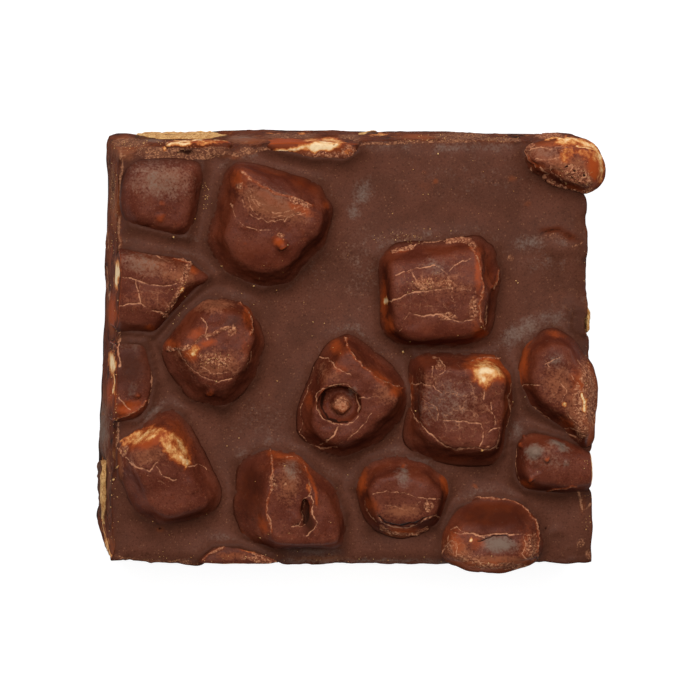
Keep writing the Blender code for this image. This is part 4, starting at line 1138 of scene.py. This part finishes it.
shrink = 1.0 - CORNER_ROUNDING * near_end(u) * near_end(v) * (v > 0.5) * (u > 0.5)
near -= NEAR_CORNER_REACH * near_end(u) ** 2 * (1.0 - v)
near -= NEAR_RIGHT_REACH * step(u, 0.9, 0.96) * step(u, 1.02, 0.985) * (1.0 - v)
far_right += NEAR_CORNER_REACH * near_end(v) * (v < 0.5) * u
far += FAR_LEFT_REACH * step(u, 0.07, 0.03) * step(u, -0.01, 0.02) * (1.0 - w)
far += FAR_REACH * step(u, 0.2, 0.25) * step(u, 0.55, 0.45) * (1.0 - w)
left -= LEFT_BULGE * step(v, -0.02, 0.045) * step(v, 0.118, 0.046) * (1.0 - w)
left -= FAR_LEFT_REACH * step(v, 0.9, 0.97) * step(v, 1.01, 0.98) * (1.0 - w * 0.5)
left -= LEFT_CORNER_REACH * near_end(v) ** 2 * (1.0 - u) * (v < 0.5)
across = (left + (far_right - left) * u) * shrink
along = (near + (far - near) * v) * shrink
points = np.stack((across, along, height), axis=1)

top = w > ON_TOP
order = np.lexsort((np.round(u * GRID_X)[top], np.round(v * GRID_Y)[top]))
top_index = np.nonzero(top)[0][order].reshape(GRID_Y + 1, GRID_X + 1)
INSET = 0.25
raw = np.full(top_index.shape, np.nan)
for row, column in np.ndindex(*top_index.shape):
    x, y, _ = points[top_index[row, column]]
    x = min(max(x, low[0] + INSET), high[0] - INSET)
    y = min(max(y, low[1] + INSET), high[1] - INSET)
    hit = cast((x, y, FAR_AWAY), (0, 0, -1))
    if hit is not None and hit[2] > SLAB_LEVEL - 3.4:
        raw[row, column] = hit[2]
known = ~np.isnan(raw)
cell = ((high[1] - low[1]) / GRID_Y, (high[0] - low[0]) / GRID_X)
tops = filled_in(np.where(known, raw, 0.0), known, POCKET_DIP, 2.6, cell)
tops = even_grid(tops, 6)
edge_biscuit = Patch("keep", 577, 322, 12, 20, 0, 1.0)
level_points = points[top_index.ravel()] * (1, 1, 0) + (0, 0, SLAB_LEVEL)
over_biscuit = patch_closeness(seen_at(level_points), edge_biscuit).reshape(tops.shape)
tops = np.where(over_biscuit > 0.2, np.maximum(tops, SLAB_LEVEL - 0.2), tops)
print("top measured:", round(float(known.mean()), 2), "of it open chocolate")

# %% [markdown]
# Liquid chocolate climbs what stands in it. The distance from each open point to the nearest pocket
# gives the climb, a narrow one on top of the wide one that the solid has. The rest of the relief is
# noise: slow ripples, a few pits, and the rough drag of the knife on the cut sides.

# %% Climb, ripples and rough sides
CLIMB = 0.75
CLIMB_REACH = 0.85
NO_POCKET_NEAR = 99.0
_, _, pocket_tree = cell_tree(~known, cell)
gap = np.zeros(tops.shape)
for row, column in zip(*np.nonzero(known)):
    gap[row, column] = pocket_tree.find((row * cell[0], column * cell[1], 0.0))[2]
tops += CLIMB * np.exp(-gap / CLIMB_REACH)
gap_at = np.full(len(points), NO_POCKET_NEAR)
gap_at[top_index.ravel()] = gap.ravel()
points[top_index.ravel(), 2] = tops.ravel()
rim = np.minimum(np.minimum(u, 1 - u), np.minimum(v, 1 - v)) < 1e-4
rim_top = rim & top
rim_tree = KDTree(int(rim_top.sum()))
for index in np.nonzero(rim_top)[0]:
    rim_tree.insert((u[index], v[index], 0.0), int(index))
rim_tree.balance()
for index in np.nonzero(w < ON_TOP)[0]:
    above = rim_tree.find((u[index], v[index], 0.0))[1]
    points[index, 2] = points[above, 2] * w[index]
put_points(slab, points)

normals = normals_of(slab)
neighbours = neighbours_of(slab)
side = 1.0 - step(np.abs(evened(normals[:, 2], neighbours, 3)), 0.35, 0.8)
side *= points[:, 2] > 0.3
fixed = step(points[:, 2], 0.05, 0.8)
relief = grain(points, 5.0, 401) * 0.12 * (1 - side) + grain(points, 1.6, 402) * 0.03 * (1 - side)
stretched = points * (1, 1, 0.35)
relief += side * (grain(stretched, 3.4, 403) * 0.12 + grain(points, 1.3, 404) * 0.08 - 0.05)
relief += side * (grain(points, 0.6, 410) * 0.06)
seen = seen_at(points)
chip = step(seen[:, 0], 236, 215) * step(-seen[:, 1], -161, -154) * (1 - side)
relief += chip * (grain(points, 1.0, 405) * 0.35 + grain(points, 0.5, 406) * 0.15)
points += normals * (relief * fixed)[:, None]
put_points(slab, points)
print("chocolate relief from", round(float(relief.min()), 2), "to", round(float(relief.max()), 2), "mm")

# %% [markdown]
# The chocolate's own marks: grey bloom where the fat has come out, together with painted sheen and
# highlights, orange spots where a crumb lies just under the surface, two pinholes with pale rings
# and painted shade inside, a crescent of painted shade, and the crumbly edges left by the knife.

# %% Marks on the chocolate
SLAB_MARKS = (
    patches("torn", (460, 136, 34, 4, 0.8), (292, 136, 28, 3, 0.6), (349, 139, 13, 5, 0.8),
        (212, 150, 17, 6, 0.9, -15), (152, 151, 18, 5, 0.9, 4), (511, 258, 4, 4, 0.75),
        (424, 174, 2, 1.5, 0.7), (581, 543, 5, 5, 0.8), (589, 555, 4, 6, 0.8), (130, 143, 22, 6, 0.7),
        (248, 151, 9, 5, 0.85))
    + patches("thin", (420, 137, 26, 4, 1), (250, 141, 22, 5, 0.7), (214, 149, 18, 7, 0.9, -15),
        (123, 139, 13, 4, 0.8), (512, 179, 6, 5, 0.55), (528, 205, 6, 5, 0.45), (436, 182, 3.5, 3, 0.75),
        (424, 173, 3, 3, 0.55), (161, 529, 7, 5, 0.6), (475, 486, 5, 3, 0.7), (425, 186, 16, 8, 0.35),
        (560, 300, 14, 20, 0.2), (124, 150, 16, 13, 0.6), (120, 240, 2.5, 60, 0.6), (583, 505, 6, 20, 0.4),
        (130, 146, 26, 8, 0.8), (232, 154, 16, 6, 0.7), (130, 168, 9, 22, 0.35))
    + patches("dark", (516, 135, 12, 3, 0.9), (300, 131.5, 60, 1.8, 0.5), (186, 152, 13, 3.5, 0.75, 5),
        (161, 529, 2, 2, 1), (546, 528, 2, 2, 1), (552, 230, 10, 3, 0.55, -6), (568, 235, 10, 3, 0.5, 28),
        (184, 153, 16, 3, 0.6, 5), (448, 540, 4, 16, 0.35, 25))
    + patches("cream", (378, 134, 12, 2, 0.6), (164, 149, 3, 3, 0.9))
    + patches("dry", (245, 140, 22, 6, 1.3), (290, 137, 34, 5, 1.3), (349, 139, 14, 6, 1.3),
        (546, 238, 26, 9, 0.5), (526, 330, 26, 10, 0.6, -25), (350, 260, 30, 60, 0.35),
        (490, 498, 26, 6, 0.5), (405, 238, 34, 8, 0.6), (124, 150, 15, 13, 1.3), (587, 320, 3, 26, 1.4),
        (320, 559, 40, 4, 1))
    + patches("bloom", (245, 139, 15, 4, 0.7), (152, 140, 18, 3, 0.6, 6), (362, 193, 12, 16, 0.55, 20),
        (354, 212, 10, 8, 0.5), (522, 331, 30, 12, 0.6, -30), (528, 243, 22, 10, 0.5),
        (552, 318, 26, 11, 0.42, -10), (152, 412, 20, 6, 0.5, -35), (420, 462, 26, 5, 0.5, 12),
        (516, 432, 8, 12, 0.5, 20), (362, 262, 20, 60, 0.22), (400, 240, 50, 8, 0.3),
        (350, 561, 240, 3, 0.45), (470, 175, 80, 30, 0.14), (562, 243, 12, 4, 0.4, 10),
        (305, 549, 36, 5, 0.55, 8), (545, 262, 30, 16, 0.25), (300, 250, 40, 60, 0.15),
        (262, 420, 50, 30, 0.15, 30), (186, 238, 26, 4, 0.3))
    + patches("amber", (274, 133, 9, 1.6, 1), (302, 133.5, 7, 1.6, 1.1), (328, 138.5, 12, 3, 1.1, -8),
        (314, 140, 10, 3, 0.9, -5), (512, 179, 4.5, 4, 0.4), (528, 205, 4, 3.5, 0.34),
        (588, 322, 2, 20, 1.2))
    + patches("scuff", (123, 139, 12, 3.5, 0.9), (124, 150, 14, 12, 0.75))
    + patches("crackle", (572, 300, 20, 90, 0.3))
    + patches("swell", (557, 532, 8, 6, 0.6), (560, 246, 22, 12, 0.8), (262, 548, 22, 6, 0.3))
    + patches("bump", (492, 478, 3, 3, 0.4))
    # The crescent over a buried lump is darkened with painted shade
    + patches("deep", (553, 230, 15, 5, 1.1, -5), (568, 235, 14, 4.6, 1.1, 28))
    + patches("dim", (552, 230, 13, 4.6, 1, -6), (568, 235, 13, 4.2, 1, 28), (572, 300, 18, 60, 0.25))
    + lines("shade", (4.2, 541, 235, 548, 230, 556, 229, 564, 231.5, 571, 235.5, 578, 240))
    + lines("faint", (3.4, 545, 236.5, 552, 234.5, 559, 236.5, 565, 240, 570, 244))
    + lines("crack", (3, 571, 246, 577, 246, 583, 243.5),
        (3, 577, 488, 580, 500, 583, 511, 588, 508, 592, 502),
        (3.2, 121, 150, 122, 165, 121, 180, 119, 230, 119, 300, 118, 400, 117, 470))
    + lines("torn", (3, 145, 160, 165, 157, 185, 159, 205, 157, 222, 152, 240, 154),
        (2.2, 250, 150, 265, 148, 360, 145, 400, 143, 440, 142, 490, 140, 520, 141),
        (2.2, 116, 556, 135, 560, 160, 561, 190, 562)))
layers, rise = paint(points, normals_of(slab), SLAB_MARKS + LEFT_SIDE_MARKS, 71)
side_drag = grain(points * (1, 1, 0.4), 1.1, 407) * 0.5 + 0.5
add_to(layers, "torn", side * step(side_drag, 0.75, 1.0) * 0.55)
add_to(layers, "torn", chip * 0.55)
add_to(layers, "thin", side * step(grain(points, 2.6, 408), -0.2, 0.8) * 0.45)
add_to(layers, "dark", side * step(grain(points, 3.4, 409), 0.2, 0.9) * 0.4)
add_to(layers, "wall", side * 0.9)
layers["cut"] = side * 0.95
# A painted shade along the bottom of the cut sides, with a ragged upper edge
low_edge_shade = step(points[:, 2] + grain(points, 2.5, 412) * 1.6, 3.6, 1.2)
add_to(layers, "dark", side * low_edge_shade * 0.72)
# Painted shade on the chocolate next to each marshmallow, fading with the distance from it
layers["foot"] = np.exp(-gap_at / 0.8) * 0.65
# Painted sheen on open slopes that face the lamp, laid in with the grey bloom
facing_far = evened(normals_of(slab)[:, 1], neighbours, 6)
sheen = step(facing_far, 0.06, 0.4) * (1 - side) * step(gap_at, 0.2, 1.0)
sheen *= 0.5 + 0.5 * grain(points, 2.4, 411)
add_to(layers, "bloom", sheen * 0.5)
points += normals_of(slab) * (rise * fixed)[:, None]
put_points(slab, points)
keep_layers(slab, layers)
slab.data.materials.clear()
slab.data.materials.append(slab_material)
slab.data.shade_smooth()
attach(slab, "root")
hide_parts("chocolate_slab")
print("chocolate:", len(slab.data.polygons), "faces")

# %% [markdown]
# The biscuit pieces break rather than tear, so their noise is sharper than the marshmallows' and the
# same on every face.

# %% Dress the biscuit
SMEARED = {
    "biscuit_right_edge": patches("smear", (577, 322, 10, 30, 1)),
    "biscuit_left_side": patches("smear", (107.5, 490, 1.8, 60, 1), (98.5, 490, 2.2, 60, 0.9),
                                 (100, 468, 2.6, 10, 1), (106.5, 516, 2.4, 12, 1), (100, 512, 2, 12, 1)),
    "biscuit_far_side": patches("smear", (224, 139, 24, 4.5, 1, -11), (234, 133, 8, 6, 1),
                                (143, 139, 18, 4, 1, 9), (176, 140, 44, 1.6, 0.9)),
    "biscuit_far_middle": patches("smear", (374, 134, 12, 4, 1))}
# How far a biscuit's showing face is pushed in, and how far its top sinks short of the side, in mm
PUSHED_IN = {"biscuit_far_side": 0.4, "biscuit_far_middle": 0.35}
SIDE_STRIP = 35.5
SUNK_TOP = 1.3


def dress_biscuit(node_name, seed):
    piece = merged_copy(node_name, "dressed_" + node_name)
    apply_modifier(piece, "REMESH", mode="VOXEL", voxel_size=0.2 * MM)
    apply_modifier(piece, "SMOOTH", factor=0.5, iterations=4)
    points = points_of(piece)
    crumbs = 1.0 - np.abs(grain(points, 1.1, seed)) * 2.0
    relief = crumbs * 0.12 + grain(points, 0.45, seed + 1) * 0.09 + grain(points, 2.5, seed + 2) * 0.2
    points += normals_of(piece) * relief[:, None]
    points[:, 1] -= PUSHED_IN.get(node_name, 0.0) * step(points[:, 1], 29.0, 31.5)
    if node_name == "biscuit_right_edge":
        inward = step(points[:, 0], SIDE_STRIP, SIDE_STRIP - 0.5)
        points[:, 2] -= SUNK_TOP * inward * step(points[:, 2], 17.0, 20.0)
    put_points(piece, points)
    ragged = grain(points, 0.9, seed + 4)
    smear = 0.22 + grain(points * (0.5, 0.5, 1.6), 2.2, seed + 3) * 0.3 + ragged * 0.15
    seen = seen_at(points)
    for patch in SMEARED.get(node_name, ()):
        smear = np.maximum(smear, patch_closeness(seen, patch) * patch.strength + ragged * 0.25)
    keep_layers(piece, {"smear": smear})
    piece.data.materials.append(biscuit_material)
    piece.data.shade_smooth()
    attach(piece, "root")
    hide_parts(node_name)
    return piece


biscuits = [dress_biscuit(name, 211 + 5 * number)
            for number, name in enumerate(sorted(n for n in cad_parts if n.startswith("biscuit")))]
for piece in biscuits:
    print(piece.name, len(piece.data.polygons), "faces")

# %% [markdown]
# Crumbs lie where the pieces rubbed together. Each kind is one piece: a small ball is dented by
# noise, copied to every place, and set down on whatever surface a ray finds there.

# %% Crumbs
PALE_CRUMBS = ((174, 237, 2.2), (195, 219, 2.0), (206, 196, 1.2), (209, 190, 1.0), (204, 205, 1.1),
               (222, 266, 2.2), (254, 286, 2.4), (126, 451, 1.8), (121, 453, 1.6), (118, 467, 2.4),
               (114, 480, 2.8), (112, 495, 1.8), (111, 507, 1.8), (403, 352, 3.0), (416, 411, 2.2),
               (482, 450, 3.2), (438, 154, 1.8), (217, 381, 2.0), (516, 281, 1.8), (518, 283, 1.6),
               (181, 291, 2.0), (564, 404, 2.2), (430, 229, 1.5), (451, 231, 1.3), (391, 234, 1.2),
               (398, 238, 1.2), (404, 236, 1.0), (424, 229, 1.2), (278, 335, 1.3), (313, 322, 2.0),
               (269, 395, 1.1), (277, 381, 1.6), (227, 446, 1.4), (239, 438, 1.2), (285, 466, 1.8))
Dust = namedtuple("Dust", "x y half_x half_y count")
DUST = (Dust(208, 195, 5, 14, 20), Dust(400, 238, 26, 6, 30), Dust(300, 300, 70, 60, 30),
        Dust(455, 200, 70, 40, 18), Dust(214, 361, 16, 8, 34), Dust(576, 172, 18, 12, 20),
        Dust(500, 400, 90, 80, 16), Dust(240, 500, 110, 60, 16), Dust(150, 145, 40, 6, 40),
        Dust(460, 138, 70, 4, 50), Dust(114, 350, 5, 190, 90), Dust(350, 560, 200, 6, 50),
        Dust(588, 330, 4, 200, 50), Dust(425, 284, 22, 12, 26), Dust(180, 300, 8, 24, 24))


everything = surface_tree([slab, *marshmallows, *biscuits])
toward = -back


def landing(x, y):
    """The point of the surface that shows at a pixel, and its normal."""
    place = (PICTURE_MIDDLE / MM + right * (x - PICTURE_SIZE / 2) * PIXEL
             - up * (y - PICTURE_SIZE / 2) * PIXEL + back * FAR_AWAY)
    hit, normal, _, _ = everything.ray_cast(place, toward)
    return hit, normal


def crumb_piece(name, places, material, seed):
    """One mesh of many crumbs, each a dented ball of its own size and turn."""
    bpy.ops.object.select_all(action="DESELECT")
    bpy.ops.mesh.primitive_ico_sphere_add(subdivisions=2, radius=1.0)
    pattern = bpy.context.object
    ball = np.array([tuple(v.co) for v in pattern.data.vertices])
    faces = [tuple(p.vertices) for p in pattern.data.polygons]
    bpy.data.objects.remove(pattern, do_unlink=True)
    draw = np.random.default_rng(seed)
    corners, all_faces = [], []
    for x, y, size in places:
        hit, normal = landing(x, y)
        if hit is None:
            continue
        shape = ball * (1.0 + 0.35 * grain(ball * 1.3, 1.0, int(draw.integers(1, 999))))[:, None]
        shape = shape * draw.uniform(0.6, 1.1, 3) * size * PIXEL / 2
        spin = Matrix.Rotation(draw.uniform(0, 6.28), 3, "Z")
        tilt = Matrix.Rotation(draw.uniform(-1, 1), 3, "X")
        turn = np.array(spin @ tilt)
        start = len(corners)
        corners += [tuple(c * MM) for c in shape @ turn.T + np.array(hit + normal * size * PIXEL * 0.2)]
        all_faces += [tuple(index + start for index in face) for face in faces]
    mesh = bpy.data.meshes.new(name)
    mesh.from_pydata(corners, [], all_faces)
    mesh.shade_smooth()
    mesh.materials.append(material)
    piece = bpy.data.objects.new(name, mesh)
    bpy.context.scene.collection.objects.link(piece)
    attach(piece, "root")
    print(name, len(all_faces), "faces")


crumb_piece("pale_crumbs", PALE_CRUMBS, biscuit_material, 5)
draw = np.random.default_rng(17)
dust_places = [(dust.x + draw.uniform(-1, 1) * dust.half_x, dust.y + draw.uniform(-1, 1) * dust.half_y,
                draw.uniform(0.5, 1.3)) for dust in DUST for _ in range(dust.count)]
crumb_piece("biscuit_dust", dust_places, biscuit_material, 6)

# %% [markdown]
# The set: a white floor, a large soft lamp above and a little to the far left, and a pale sky.
# The lamp is large because the real chocolate shows broad dull sheens and no sharp glints.

# %% Floor and light
bpy.ops.object.select_all(action="DESELECT")
bpy.ops.mesh.primitive_plane_add(size=3.0, location=(0, 0, 0))
floor = bpy.context.object
floor.name = "floor"
floor_material, floor_tree, floor_shader = new_material("floor_white")
floor_place = node(floor_tree, "TexCoord").outputs["Object"]
floor_tone = mix(floor_tree, noise(floor_tree, floor_place, 60.0), (0.2, 0.2, 0.2, 1), (0.22, 0.22, 0.22, 1))
floor_tree.links.new(floor_tone, floor_shader.inputs["Base Color"])
floor_shader.inputs["Roughness"].default_value = 0.9
floor_shader.inputs["Emission Color"].default_value = (1.0, 1.0, 1.0, 1.0)
floor_shader.inputs["Emission Strength"].default_value = 0.94
floor.data.materials.append(floor_material)

lamp_data = bpy.data.lights.new("softbox", "AREA")
lamp_data.shape = "SQUARE"
lamp_data.size = 0.9
lamp_data.energy = 12.4
lamp = bpy.data.objects.new("softbox", lamp_data)
lamp_place = Vector((-0.06, 0.42, 0.86))
lamp.location = lamp_place
lamp.rotation_euler = (PICTURE_MIDDLE - lamp_place).to_track_quat("-Z", "Y").to_euler()
bpy.context.scene.collection.objects.link(lamp)

world = bpy.data.worlds.new("sky")
world.use_nodes = True
sky_tree = world.node_tree
direction = node(sky_tree, "TexCoord").outputs["Generated"]
upward = node(sky_tree, "SeparateXYZ", {"Vector": direction}).outputs["Z"]
brightness = between(sky_tree, upward, 0.3, 0.95, 0.7, 0.24)
sky_tree.links.new(brightness, sky_tree.nodes["Background"].inputs["Strength"])
bpy.context.scene.world = world
bpy.context.scene.view_settings.view_transform = "Standard"
print("lamp", lamp_data.energy, "W over", lamp_data.size, "m")
